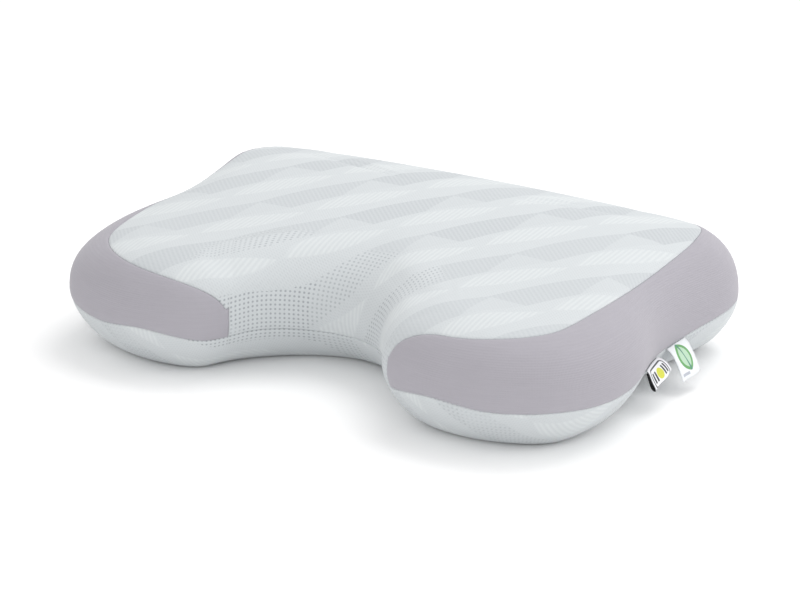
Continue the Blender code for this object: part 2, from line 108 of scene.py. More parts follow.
def solidPlace(tree):
    # The object's coordinates in mm, and their three parts
    place = addNode(tree, "TexCoord", {}, {}, "Object")
    inMm = addNode(tree, "VectorMath", scaled, {0: place, "Scale": 1 / mm})
    x = addNode(tree, "SeparateXYZ", {}, {0: inMm})
    return inMm, x, x.node.outputs[1], x.node.outputs[2]


def meshObject(name, points, faces, finish, uv=None, extra=None):
    # A smooth mesh from points and faces, with cloth coordinates and any attributes that its material reads
    mesh = bpy.data.meshes.new(name)
    mesh.from_pydata(points.tolist(), [], faces if isinstance(faces, list) else faces.tolist())
    mesh.shade_smooth()
    corners = np.empty(len(mesh.loops), np.int32)
    mesh.loops.foreach_get("vertex_index", corners)
    if uv is not None:
        layer = mesh.uv_layers.new(name="fabric")
        layer.data.foreach_set("uv", uv[corners].astype(np.float32).ravel())
    for key, values in (extra or {}).items():
        mesh.attributes.new(key, "FLOAT", "POINT").data.foreach_set("value", values.astype(np.float32))
    made = bpy.data.objects.new(name, mesh)
    made.data.materials.append(finish)
    bpy.context.scene.collection.objects.link(made)
    return made


def gridFaces(rows, columns, wrap=False):
    # Quads between neighbouring rows and columns of a grid whose points are listed row by row
    last = columns if wrap else columns - 1
    row, column = np.meshgrid(np.arange(rows - 1), np.arange(last), indexing="ij")
    here = (row * columns + column).ravel()
    right = (row * columns + (column + 1) % columns).ravel()
    return np.column_stack([here, here + columns, right + columns, right])


def closedFaces(rows, columns):
    # A ring grid's quads, and a fan at either end to the two pole points that follow the grid's own
    ring = np.arange(columns)
    following = (ring + 1) % columns
    last = (rows - 1) * columns
    fans = [np.column_stack([np.full(columns, rows * columns), ring, following]),
            np.column_stack([np.full(columns, rows * columns + 1), last + following, last + ring])]
    return gridFaces(rows, columns, wrap=True).tolist() + np.vstack(fans).tolist()


def unit(vectors):
    # Each vector over its own length
    return vectors / np.maximum(np.linalg.norm(vectors, axis=-1, keepdims=True), 1e-12)


pillow = {
    "width": 0.600, "depth": 0.400,
    "frontHeight": 0.1155, "backHeight": 0.1318, "crown": 0.007,
    "riseStartY": -0.140, "riseEndY": 0.140,
    "waistHeight": 0.056,                   # the widest level
    "undersideInset": 0.046,                # how far the base's edge lies inside the outline
    "topRoundness": 2.4, "undersideRoundness": 1.55,   # the walls' superellipse powers
    "topCentreY": 0.090, "baseCentreY": 0.080,         # where the skin's columns meet
    "drawn": (600.0, 400.0),                # the outline below is for this size, in mm
    # right half, from the cut-out's middle to the back's middle: x, y, where the shoulder meets the top
    # (x, y), the lower seam's height, and how far up the shoulder the side seam runs in degrees
    "outline": (
        (0, -97, 0, 5, 37, 50), (70, -138, 97, -75, 44, 50), (100, -182, 136, -116, 41, 50),
        (158, -203, 170, -138, 50, 52), (212, -198, 204, -134, 45, 60), (270, -168, 220, -114, 46, 67),
        (295, -118, 230, -98, 43, 73), (296, -58, 236, -58, 42, 72), (281, 10, 226, 8, 41, 57),
        (288, 90, 233, 86, 47, 62), (295, 138, 236, 112, 53, 69), (280, 176, 222, 130, 53, 64),
        (218, 196, 190, 139, 45, 56), (0, 199, 0, 143, 44, 50),
    ),
}

cover = {
    "thickness": 0.0022, "floorLevel": 3.6,   # past this level the inner face stays a thickness off the floor
    # where the side panels' seams start, along the outline from the front's middle and from the back's
    "noseRight": 0.142, "noseLeft": 0.112, "noseBack": 0.195,
    "noseRadii": (0.060, 0.060, 0.060, 0.118),  # from the right front round to the left front
    "noseAngle": 12,                        # degrees up the shoulder, where the side seam turns straight down
    "grooveDepth": 0.0013, "grooveWidth": 0.0032,
    "puckerHeight": 0.00012, "puckerPitch": 0.0065, "puckerStart": 0.001, "puckerReach": 0.007,
    # how far the knit is pulled open: it fades across and back from the cut-out, between two distances each
    "stretchMiddle": -0.015, "stretchAcross": (0.060, 0.160), "stretchBack": (-0.090, -0.025),
    "undersideStretch": 0.40,
}

zipper = {
    "length": 0.320, "margin": 0.012, "fade": 0.050,   # the seam is straight over the length and a margin
    # the panels' edges draw back this far, and close again over this length past either end
    "channel": 0.0055, "turnIn": 0.0016, "rowsMoved": 13,
    "tapeDepth": 0.0004, "coilDiameter": 0.0018, "clearance": 0.0003, "sliderWall": 0.0009,
    "pullBar": 0.0012,                      # the pull's square bar, which turns in the slider's bail
}


def closedSpline(knots, rows):
    # A periodic cubic spline. With h the steps between knots, its second derivatives M solve
    # h(i-1) M(i-1) + 2 (h(i-1) + h(i)) M(i) + h(i) M(i+1) = 6 times the change of slope at knot i.
    count, step = len(rows), np.diff(knots)
    before = np.roll(step, 1)
    slopes = (np.roll(rows, -1, axis=0) - rows) / step[:, None]
    i = np.arange(count)
    system = np.zeros((count, count))
    system[i, i - 1] += before
    system[i, i] += 2 * (before + step)
    system[i, (i + 1) % count] += step
    bend = np.linalg.solve(system, 6 * (slopes - np.roll(slopes, 1, axis=0)))

    def parts(at):
        at = np.mod(at, knots[-1])
        k = np.clip(np.searchsorted(knots, at, side="right") - 1, 0, count - 1)
        b = ((at - knots[k]) / step[k])[:, None]
        return k, (k + 1) % count, step[k][:, None], 1 - b, b

    def value(at):
        k, j, h, a, b = parts(at)
        return a * rows[k] + b * rows[j] + ((a**3 - a) * bend[k] + (b**3 - b) * bend[j]) * h**2 / 6

    def slope(at):
        k, j, h, a, b = parts(at)
        return (rows[j] - rows[k]) / h + ((3 * b**2 - 1) * bend[j] - (3 * a**2 - 1) * bend[k]) * h / 6

    return value, slope


def smoothStep(start, end, at):
    # 0 before start, 1 after end, and 3t^2 - 2t^3 between them
    t = np.clip((at - start) / (end - start), 0, 1)
    return t * t * (3 - 2 * t)


def outlineCurve():
    # The outline's control rows all round, and the base's edge: the outline moved in along its normal
    right = np.array(pillow["outline"], float)
    rows = np.vstack([right, right[1:-1][::-1] * (-1, 1, -1, 1, 1, 1)])
    rows[:, :5] *= mm
    rows[:, 0:4:2] *= pillow["width"] / (pillow["drawn"][0] * mm)
    rows[:, 1:4:2] *= pillow["depth"] / (pillow["drawn"][1] * mm)
    rows[:, 5] = np.radians(rows[:, 5])
    chords = np.linalg.norm(np.roll(rows, -1, axis=0)[:, :2] - rows[:, :2], axis=1)
    knots = np.concatenate([[0], np.cumsum(np.sqrt(chords))])
    ahead = unit(closedSpline(knots, rows[:, :2])[1](knots[:-1]))
    base = rows[:, :2] + pillow["undersideInset"] * np.column_stack([-ahead[:, 1], ahead[:, 0]])
    value = closedSpline(knots, np.hstack([rows[:, :4], base, rows[:, 4:]]))[0]
    fine = np.linspace(0, knots[-1], 4001)
    lengths = np.linalg.norm(np.diff(value(fine)[:, :2], axis=0), axis=1)
    return value, fine, np.concatenate([[0], np.cumsum(lengths)])


outlineAt, outlineFine, outlineArc = outlineCurve()
roundLength = outlineArc[-1]
backMiddle = roundLength / 2
noses = (
    cover["noseRight"], backMiddle - cover["noseBack"],
    backMiddle + cover["noseBack"], roundLength - cover["noseLeft"],
)


def aroundAt(stations):
    # Outline, plateau edge, base edge, lower seam height and side seam angle at distances along the outline.
    # Where the zip is sewn in, the back is straight: only x changes along it.
    value = outlineAt(np.interp(np.mod(stations, roundLength), outlineArc, outlineFine))
    straight = zipper["length"] / 2 + zipper["margin"]
    fromMiddle = np.abs(np.mod(stations, roundLength) - backMiddle)
    weight = 1 - smoothStep(straight, straight + zipper["fade"], fromMiddle)[:, None]
    level = value + weight * (outlineAt(outlineFine[-1:] / 2) - value)
    level[:, 0:6:2] = value[:, 0:6:2]
    return level[:, 0:2], level[:, 2:4], level[:, 4:6], level[:, 6], level[:, 7]


def topHeight(x, y):
    # The top rises from front to back on a smooth step, and falls to either side with the square of x
    rise = smoothStep(pillow["riseStartY"], pillow["riseEndY"], y)
    height = pillow["frontHeight"] + (pillow["backHeight"] - pillow["frontHeight"]) * rise
    return height - pillow["crown"] * (x / (pillow["width"] / 2)) ** 2


def rounding(point, inner, angle, power):
    # How far in and how far up or down a superellipse goes: 1 - cos^(2/power) and sin^(2/power) of the angle
    across = 1 - np.abs(np.cos(angle)) ** (2 / power)
    return point + across[:, None] * (inner - point), np.abs(np.sin(angle)) ** (2 / power)


def wallAt(point, plateau, base, angle):
    # The wall from the plateau (90 degrees) over the waist (0) to the base (-90)
    waist = pillow["waistHeight"]
    high, up = rounding(point, plateau, np.maximum(angle, 0), pillow["topRoundness"])
    low, down = rounding(point, base, np.maximum(-angle, 0), pillow["undersideRoundness"])
    above = np.column_stack([high, waist + (topHeight(high[:, 0], high[:, 1]) - waist) * up])
    below = np.column_stack([low, waist * (1 - down)])
    return np.where((angle > 0)[:, None], above, below)


def sideSeamAngle(stations, angle):
    # From each nose the side seam climbs on a quarter round: the square root of 1 - (1 - reach)^2
    apart = [np.abs(stations - nose) / radius for nose, radius in zip(noses, cover["noseRadii"])]
    reach = np.clip(np.min(apart, axis=0), 0, 1)
    return np.maximum(angle * np.sqrt(1 - (1 - reach) ** 2), math.radians(cover["noseAngle"]))


def onSide(stations, right):
    # Whether the stations lie along the right or the left side panel
    first, last = (noses[0], noses[1]) if right else (noses[2], noses[3])
    return (stations > first - 1e-9) & (stations < last - 1e-9)


def crowded(start, end, count, strength=0.85, oneEnd=False):
    # count steps from start to end, closer together at both ends, or at the end only
    t = np.linspace(0, 1, count + 1)[:-1]
    even = t - strength * np.sin(2 * math.pi * t) / (2 * math.pi)
    if oneEnd:
        even = 1 - (1 - t) ** 1.6
    return start + (end - start) * even


def ringStations(density):
    # Distances round the outline from the left front nose, crowded at the noses and at the zip's ends
    zipStart = backMiddle - zipper["length"] / 2
    zipEnd = backMiddle + zipper["length"] / 2
    turn = zipper["turnIn"]
    spans = (
        (-cover["noseLeft"], noses[0], 110), (noses[0], noses[1], 170), (noses[1], zipStart - turn, 26),
        (zipStart - turn, zipStart, 4), (zipStart, zipEnd, 84), (zipEnd, zipEnd + turn, 4),
        (zipEnd + turn, noses[2], 26), (noses[2], noses[3], 170),
    )
    pieces = [crowded(a, b, max(2, round(n * density)), 0.85 if n > 30 else 0.3) for a, b, n in spans]
    return np.concatenate(pieces)


rowPlan = {"plateau": 18, "shoulder": 26, "side": 26, "underside": 22, "base": 7}


def skinGrid(density):
    # The closed skin as rows by columns. A row's level is 0 at the top's middle, 1 at the plateau's edge,
    # 2 at the side seam, 3 at the lower seam, 4 at the base's edge and 5 at the base's middle.
    stations = ringStations(density)
    point, plateau, base, seamHeight, seamAngle = aroundAt(stations)
    side = sideSeamAngle(np.mod(stations, roundLength), seamAngle)
    waist = pillow["waistHeight"]
    lower = -np.arcsin((1 - seamHeight / waist) ** (pillow["undersideRoundness"] / 2))
    counts = {name: max(3, round(n * density)) for name, n in rowPlan.items()}
    topMiddle = np.array([0.0, pillow["topCentreY"]])
    baseMiddle = np.array([0.0, pillow["baseCentreY"]])
    rows, levels = [], []
    for t in np.linspace(0, 1, counts["plateau"] + 1)[1:-1]:
        flat = topMiddle + t * (plateau - topMiddle)
        rows.append(np.column_stack([flat, topHeight(flat[:, 0], flat[:, 1])]))
        levels.append(t)
    for t in crowded(0, 1, counts["shoulder"], oneEnd=True):
        rows.append(wallAt(point, plateau, base, math.pi / 2 + t * (side - math.pi / 2)))
        levels.append(1 + t)
    for t in crowded(0, 1, counts["side"]):
        rows.append(wallAt(point, plateau, base, side + t * (lower - side)))
        levels.append(2 + t)
    for t in 1 - crowded(0, 1, counts["underside"], oneEnd=True)[::-1]:
        if t < 1:
            rows.append(wallAt(point, plateau, base, lower + t * (-math.pi / 2 - lower)))
            levels.append(3 + t)
    for t in np.linspace(0, 1, counts["base"] + 1)[:-1]:
        flat = base + t * (baseMiddle - base)
        rows.append(np.column_stack([flat, np.zeros(len(flat))]))
        levels.append(4 + t)
    return {
        "stations": stations, "levels": np.array(levels), "points": np.array(rows),
        "plateau": plateau, "outline": point, "base": base,
    }


def rowAt(skin, level):
    # The number of the row nearest to a level
    return int(np.argmin(np.abs(skin["levels"] - level)))


def arcDown(points):
    # Arc length down each column of a grid, from its first row
    lengths = np.linalg.norm(np.diff(points, axis=0), axis=-1)
    return np.vstack([np.zeros((1, points.shape[1])), np.cumsum(lengths, axis=0)])


def gridNormals(skin):
    # The cross product of the surface's two directions, pointing outwards. The base faces straight down.
    points = skin["points"]
    along = np.roll(points, -1, axis=1) - np.roll(points, 1, axis=1)
    down = np.gradient(points, axis=0)
    normals = unit(np.cross(down, along))
    normals[skin["levels"] >= 4] = (0, 0, -1)
    return normals


swell = {
    "pressure": 4.0, "frames": 20, "smoothing": 12,
    "most": 0.0028,                         # no point moves further than this
    "density": 0.36,                        # the coarse copy's rows and columns, as a share of the skin's
    "restsFrom": 3.85,                      # the level from which the underside rests and is held
    "ownTravel": (0.05, 0.65),              # levels over which a point's own travel replaces the top's mean
    "lowered": (1.0, 1.8),                  # levels over which the top's lower start fades out
}


def swollen(skin):
    # Inflates a coarse copy of the skin that is held at its seams and where it rests, and returns how far
    # each of its points moves, as rows by columns
    rows, columns, _ = skin["points"].shape
    top, bottom = pillow["topCentreY"], pillow["baseCentreY"]
    poles = np.array([[0, top, topHeight(0.0, top)], [0, bottom, 0]])
    points = np.vstack([skin["points"].reshape(-1, 3), poles])
    mesh = bpy.data.meshes.new("swelling")
    mesh.from_pydata(points.tolist(), [], closedFaces(rows, columns))
    sack = bpy.data.objects.new("swelling", mesh)
    bpy.context.scene.collection.objects.link(sack)
    held = sack.vertex_groups.new(name="held")
    level = np.repeat(skin["levels"], columns)
    sides = np.tile(onSide(skin["stations"], True) | onSide(skin["stations"], False), rows)
    onSeam = (np.abs(level - 3) < 1e-6) | (level >= swell["restsFrom"]) | (sides & (np.abs(level - 2) < 1e-6))
    held.add(np.flatnonzero(onSeam).tolist() + [rows * columns + 1], 1.0, "REPLACE")
    cloth = sack.modifiers.new("cloth", "CLOTH")
    cloth.settings.use_pressure = True
    cloth.settings.uniform_pressure_force = swell["pressure"]
    cloth.settings.vertex_group_mass = "held"
    cloth.settings.effector_weights.gravity = 0
    scene = bpy.context.scene
    for number in range(1, swell["frames"] + 1):
        scene.frame_set(number)
    settled = sack.evaluated_get(bpy.context.evaluated_depsgraph_get()).to_mesh()
    moved = np.empty(len(points) * 3)
    settled.vertices.foreach_get("co", moved)
    travel = moved.reshape(-1, 3)[:rows * columns] - points[:rows * columns]
    scene.frame_set(1)
    bpy.data.objects.remove(sack, do_unlink=True)
    far = np.linalg.norm(travel, axis=1, keepdims=True)
    travel *= np.minimum(1, swell["most"] / np.maximum(far, 1e-9))
    print(f"cloth: {len(points)} points, mean travel {far.mean() / mm:.2f} mm,"
          f" capped at {swell['most'] / mm:.1f} mm")
    return travel.reshape(rows, columns, 3)


def spreadTravel(travel, coarse, fine):
    # Carries the coarse travel to the fine grid: along each row, then along each column, then smoothed
    knots = np.append(coarse["stations"], coarse["stations"][0] + roundLength)
    closed = np.concatenate([travel, travel[:, :1]], axis=1)
    alongRows = np.array([
        [np.interp(fine["stations"], knots, row[:, k]) for k in range(3)] for row in closed])
    out = np.empty((len(fine["levels"]), len(fine["stations"]), 3))
    for k in range(3):
        for j in range(len(fine["stations"])):
            out[:, j, k] = np.interp(fine["levels"], coarse["levels"], alongRows[:, k, j])
    for _ in range(swell["smoothing"]):
        out = (np.roll(out, 1, axis=1) + 2 * out + np.roll(out, -1, axis=1)) / 4
        out[1:-1] = (out[:-2] + 2 * out[1:-1] + out[2:]) / 4
    # the middle of the top travels as one, so its narrow rings keep their order
    own = smoothStep(*swell["ownTravel"], fine["levels"])[:, None, None]
    return alongRows[0].mean(axis=1) * (1 - own) + out * own


coverSkin = skinGrid(1.0)
innerSkin = skinGrid(0.5)
print(f"skin: {coverSkin['points'].shape[0]} rows by {coverSkin['points'].shape[1]} columns")
sackSkin = skinGrid(swell["density"])
travel = swollen(sackSkin)
for skin in (coverSkin, innerSkin):
    # the top starts half a swell lower, so that it ends at its own height
    lower = swell["most"] / 2 * (1 - smoothStep(*swell["lowered"], skin["levels"]))
    skin["points"] += spreadTravel(travel, sackSkin, skin) - lower[:, None, None] * gridNormals(skin)
    skin["points"][..., 2] = np.maximum(skin["points"][..., 2], 0)


def seamDistance(points, lines):
    # Distance from each point to the nearest of several polylines: to its nearest vertex's two segments,
    # some points at a time to save memory
    best = np.full(len(points), np.inf)
    for line in lines:
        for some, nearest in zip(np.array_split(points, 24), np.array_split(best, 24)):
            k = np.argmin(((some[:, None] - line[None]) ** 2).sum(-1), axis=1)
            for a, b in ((np.maximum(k - 1, 0), k), (k, np.minimum(k + 1, len(line) - 1))):
                along = line[b] - line[a]
                t = np.clip(((some - line[a]) * along).sum(-1) / np.maximum((along**2).sum(-1), 1e-12), 0, 1)
                gap = np.linalg.norm(some - line[a] - t[:, None] * along, axis=1)
                np.minimum(nearest, gap, out=nearest)
    return best


def seamLines(skin):
    # The lower seam all round, and each side seam: up from one nose, along, and down to the other
    points, side, lower = skin["points"], rowAt(skin, 2), rowAt(skin, 3)
    lines = [np.vstack([points[lower], points[lower, :1]])]
    for right in (True, False):
        chosen = np.flatnonzero(onSide(skin["stations"], right))
        last = (chosen[-1] + 1) % len(skin["stations"])
        climb, descent = points[side:lower + 1, chosen[0]][::-1], points[side:lower + 1, last]
        lines.append(np.vstack([climb, points[side, chosen], descent]))
    return lines


def groove(distance):
    # A seam's valley, as deep as grooveDepth at the seam: 1 - the square root of 1 - reach^2
    reach = np.clip(1 - distance / cover["grooveWidth"], 0, 1)
    return cover["grooveDepth"] * (1 - np.sqrt(1 - reach**2))


def pucker(distance, along):
    # Small ripples square to the seam, a sum of three sines, that die out away from it as e^(-distance)
    turn = 2 * math.pi * along / cover["puckerPitch"]
    ripple = np.sin(turn) + 0.6 * np.sin(0.618 * turn + 1.3) + 0.5 * np.sin(1.377 * turn + 4.1)
    fading = np.exp(-distance / cover["puckerReach"]) * np.clip(distance / cover["puckerStart"], 0, 1)
    return cover["puckerHeight"] * ripple * fading


def fabricCoordinates(skin, topSide):
    # Flat cloth coordinates: the plan inside the plateau's or the base's edge, then on down the wall by its
    # arc length, in the direction from that edge to the outline. A wall that faces the front or the back
    # keeps its own x, so that the knit's columns run straight down it.
    points, levels = skin["points"], skin["levels"]
    inner = skin["plateau"] if topSide else skin["base"]
    arc = arcDown(points)
    arc = np.abs(arc - arc[rowAt(skin, 1 if topSide else 4)])
    direction = unit(skin["outline"] - inner)
    flat = inner[None] + direction[None] * arc[..., None]
    facing = np.abs(direction[:, 1]) ** 2
    flat[..., 0] += facing * (points[..., 0] - flat[..., 0])
    flat[..., 1] += facing * (np.sign(direction[:, 1]) - direction[:, 1]) * arc
    inside = levels <= 1 if topSide else levels >= 4
    return np.where(inside[:, None, None], points[..., :2], flat)


def shoulderStretch(skin):
    # 1 where the knit is pulled open in the cut-out, falling to 0 on the flat top and away from it
    points = skin["points"]
    across = 1 - smoothStep(*cover["stretchAcross"], np.abs(points[..., 0] - cover["stretchMiddle"]))
    back = 1 - smoothStep(*cover["stretchBack"], points[..., 1])
    return across * back


def shell(name, skin, wanted, outer, inner, finish, uv, extra=None, poles=()):
    # The wanted cells of the skin between two depths, closed round their edge. At a pole a fan closes the
    # last ring, its middle as far beyond that ring as the ring is beyond the next.
    rows, columns, _ = skin["points"].shape
    cells = gridFaces(rows, columns, wrap=True)[wanted.ravel()]
    faces = [cells]
    outerPoints, innerPoints = outer.reshape(-1, 3), inner.reshape(-1, 3)
    uvPoints = uv.reshape(-1, 2)
    ring = np.arange(columns)
    following = (ring + 1) % columns
    for pole in poles:
        row, beyond = (0, 1) if pole == "top" else (rows - 1, rows - 2)
        pair = (ring, following) if pole == "top" else (following, ring)
        middle = len(outerPoints)
        fan = [np.full(columns, middle), row * columns + pair[0], row * columns + pair[1]]
        faces.append(np.column_stack(fan))
        outerPoints = np.vstack([outerPoints, (2 * outer[row] - outer[beyond]).mean(axis=0)])
        innerPoints = np.vstack([innerPoints, (2 * inner[row] - inner[beyond]).mean(axis=0)])
        uvPoints = np.vstack([uvPoints, (2 * outer[row] - outer[beyond]).mean(axis=0)[:2]])
    # an edge that no face runs along the other way is on the rim
    pairs = np.vstack([
        np.column_stack([f[:, k], f[:, (k + 1) % f.shape[1]]]) for f in faces for k in range(f.shape[1])])
    key = pairs[:, 0] * len(outerPoints) + pairs[:, 1]
    back = pairs[:, 1] * len(outerPoints) + pairs[:, 0]
    rim = pairs[~np.isin(back, key)]
    used = np.unique(np.concatenate([f.ravel() for f in faces]))
    place = np.full(len(outerPoints), -1)
    place[used] = np.arange(len(used))
    out = [place[f] for f in faces]
    count = len(used)
    start, end = place[rim[:, 0]], place[rim[:, 1]]
    walls = np.column_stack([end, start, start + count, end + count])
    listed = [row for f in out for row in f.tolist()]
    listed += [row[::-1] for row in [(r + count).tolist() for f in out for r in f]]
    listed += walls.tolist()
    points = np.vstack([outerPoints[used], innerPoints[used]])
    both = {}
    for attribute, values in (extra or {}).items():
        both[attribute] = np.tile(np.append(values.ravel(), [0.0] * len(poles))[used], 2)
    return meshObject(name, points, listed, finish, np.tile(uvPoints[used], (2, 1)), both)


def zipRows(skin, upward):
    # The rows that the zip's opening moves, from the lower seam up or down
    step = -1 if upward else 1
    return rowAt(skin, 3) + step * np.arange(zipper["rowsMoved"])


def openedForZip(skin, points, upward):
    # Moves the rows next to the lower seam clear of the zip, squeezing the rows beyond them together
    chosen = zipRows(skin, upward)
    path = points[chosen]
    arc = arcDown(path)
    fromMiddle = np.abs(skin["stations"] - backMiddle)
    half = zipper["length"] / 2
    opening = zipper["channel"] * (1 - smoothStep(half, half + zipper["turnIn"], fromMiddle))
    out = points.copy()
    for j in np.flatnonzero(opening > 0):
        target = opening[j] + arc[:, j] * (1 - opening[j] / arc[-1, j])
        out[chosen, j] = np.column_stack([np.interp(target, arc[:, j], path[:, j, k]) for k in range(3)])
    return out


def coverPanels(knit, plain):
    # The cover's four panels, cut from one skin along its seams
    normals = gridNormals(coverSkin)
    points, levels, stations = coverSkin["points"], coverSkin["levels"], coverSkin["stations"]
    flat = points.reshape(-1, 3)
    distance = seamDistance(flat, seamLines(coverSkin)).reshape(points.shape[:2])
    along = np.broadcast_to(stations[None], distance.shape)
    lift = pucker(distance, along) - groove(distance)
    cellLevels = (levels[:-1] + levels[1:]) / 2
    middles = stations + np.diff(np.append(stations, stations[0] + roundLength)) / 2
    right, left = onSide(middles, True), onSide(middles, False)
    sideBand = (cellLevels > 2) & (cellLevels < 3)
    wanted = {
        "cover_top": (cellLevels < 2)[:, None] | (sideBand[:, None] & ~(right | left)[None]),
        "cover_bottom": np.broadcast_to((cellLevels > 3)[:, None], (len(cellLevels), len(stations))),
        "cover_side_right": sideBand[:, None] & right[None],
        "cover_side_left": sideBand[:, None] & left[None],
    }
    nodes = {
        "cover_top": "cover_top_panel", "cover_bottom": "cover_bottom_panel",
        "cover_side_right": "cover_right_side_panel", "cover_side_left": "cover_left_side_panel",
    }
    stretch = shoulderStretch(coverSkin)
    down = arcDown(points)
    down = (down - down[rowAt(coverSkin, 3)]) / mm
    sideUv = np.stack([along, np.broadcast_to(points[..., 2], along.shape)], axis=-1)
    for name, cells in wanted.items():
        opened = points
        if name in ("cover_top", "cover_bottom"):
            opened = openedForZip(coverSkin, points, name == "cover_top")
            uv = fabricCoordinates(coverSkin, name == "cover_top")
            finish, slot, poles = knit, "jacquard_knit", (name.split("_")[1],)
            pulled = stretch if name == "cover_top" else np.maximum(stretch, cover["undersideStretch"])
            extra = {"stretch": pulled, "wale": along / mm, "course": down}
        else:
            uv, finish, slot, poles, extra = sideUv, plain, "plain_knit", (), None
        outer = opened + normals * lift[..., None]
        inner = opened - normals * cover["thickness"]
        outer[..., 2] = np.maximum(outer[..., 2], 0)
        least = np.where(levels > cover["floorLevel"], cover["thickness"], 0)
        inner[..., 2] = np.maximum(inner[..., 2], least[:, None])
        made = shell(name, coverSkin, cells, outer, inner, finish, uv, extra, poles)
        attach(made, "pillow")
        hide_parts(nodes[name])
        print(f"{name}: {len(made.data.polygons)} faces")


insides = {"linerDepth": 0.0027, "linerThickness": 0.001, "coreDepth": 0.0042}   # under the cover's face


def innerLayers(foam, jersey):
    # The liner's two halves and the foam core: the same skin at two greater depths
    points, levels = innerSkin["points"], innerSkin["levels"]
    normals = gridNormals(innerSkin)
    cellLevels = (levels[:-1] + levels[1:]) / 2
    columns = points.shape[1]
    outer = points - normals * insides["linerDepth"]
    inner = outer - normals * insides["linerThickness"]
    for name, node, low, high, pole in (
        ("liner_upper", "liner_top", 0, 3, "top"), ("liner_lower", "liner_bottom", 3, 5, "bottom"),
    ):
        half = (cellLevels > low) & (cellLevels < high)
        wanted = np.broadcast_to(half[:, None], (len(cellLevels), columns))
        made = shell(name, innerSkin, wanted, outer, inner, jersey, points[..., :2], None, (pole,))
        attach(made, "pillow")
        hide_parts(node)
    surface = points - normals * insides["coreDepth"]
    surface[..., 2] = np.maximum(surface[..., 2], insides["coreDepth"])
    middles = [(2 * surface[0] - surface[1]).mean(axis=0), (2 * surface[-1] - surface[-2]).mean(axis=0)]
    faces = closedFaces(len(levels), columns)
    made = meshObject("moulded_foam_core", np.vstack([surface.reshape(-1, 3), middles]), faces, foam)
    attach(made, "pillow")
    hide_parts("foam_core")


labels = {
    "thickness": 0.0006, "standOff": 0.0008, "straightBy": 0.010, "sway": 0.0007, "rows": 44, "columns": 15,
    # at is the middle's place along the side, direction the sewn edge's, hang how much lower the nearer
    # corner hangs, as a share, and path the ribbon's side view: out and up from the seam, in mm
    "folded": {
        "at": -0.008, "width": 0.038, "direction": (-0.06, 0.99, 0.11), "hang": 0.10,
        "node": "side_label_folded",
        "path": ((0, 0), (4.2, -2.6), (8.0, -6.8), (11.2, -11.8), (12.0, -14.6),
                 (10.4, -15.4), (7.0, -13.6), (4.0, -10.4), (1.8, -6.8), (0.2, -3.0)),
    },
    "flat": {
        "at": 0.046, "width": 0.031, "direction": (0.10, 0.995, 0.0), "hang": 0.05, "node": "side_label_flat",
        "path": ((0, 0), (5, -3.6), (10, -10), (15, -18.5), (19.5, -28.5)),
    },
}


def smoothPath(points, count):
    # Catmull-Rom through the points: each span is a cubic, and its slope at a point is half the step from the
    # point before to the point after
    track = np.array(points, float)
    ends = np.vstack([2 * track[0] - track[1], track, 2 * track[-1] - track[-2]])
    at = np.linspace(0, len(track) - 1, count)
    k = np.minimum(at.astype(int), len(track) - 2)
    t = (at - k)[:, None]
    a, b, c, d = ends[k], ends[k + 1], ends[k + 2], ends[k + 3]
    return 0.5 * (2 * b + (c - a) * t + (2 * a - 5 * b + 4 * c - d) * t**2 + (3 * b - 3 * c + d - a) * t**3)


def label(name, spec, finish, plainSide):
    # A ribbon: its side view carried along the edge that is sewn into the lower seam of the right side
    row = coverSkin["points"][rowAt(coverSkin, 3)]
    seam = row[(row[:, 0] > pillow["width"] / 4) & (np.abs(row[:, 1] - spec["at"]) < spec["width"])]
    along = unit(np.array(spec["direction"]))
    out = unit(np.cross(along, (0, 0, 1)))
    up = np.cross(out, along)
    up *= math.copysign(1, up[2])
    path = smoothPath(spec["path"], labels["rows"]) * mm
    steps = np.concatenate([[0], np.cumsum(np.linalg.norm(np.diff(path, axis=0), axis=1))])
    share = np.linspace(-0.5, 0.5, labels["columns"])
    across = share * spec["width"]
    # its sewn edge follows the seam, and the ribbon straightens on its way out
    order = np.argsort(seam[:, 1])
    root = np.column_stack([
        np.interp(spec["at"] + across * along[1], seam[order, 1], seam[order, k]) for k in range(3)])
    root += labels["standOff"] * out
    middle = root.mean(axis=0)
    straight = smoothStep(0.0, labels["straightBy"], path[:, 0])[:, None, None]
    root = root[None] + straight * (middle + across[:, None] * along - root)[None]
    drop = path[:, None, 1] * (1 - 2 * spec["hang"] * share[None])
    # the ribbon is never quite flat: a shallow wave that grows from the seam to its free end
    ripple = np.sin(2.4 * math.pi * share + 0.6)
    sway = labels["sway"] * ripple[None] * (path[:, None, 0] / path[:, 0].max())
    grid = root + (path[:, None, 0] + sway)[..., None] * out + drop[..., None] * up
    uv = np.stack(np.broadcast_arrays(across[None], steps[:, None]), axis=-1).reshape(-1, 2)
    made = meshObject(name, grid.reshape(-1, 3), gridFaces(len(path), len(across)), finish, uv)
    made.data.materials.append(plainSide)
    thick = made.modifiers.new("thickness", "SOLIDIFY")
    thick.thickness = labels["thickness"]
    thick.offset = 0
    thick.material_offset = 1
    thick.material_offset_rim = 1
    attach(made, "pillow")
    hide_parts(spec["node"])


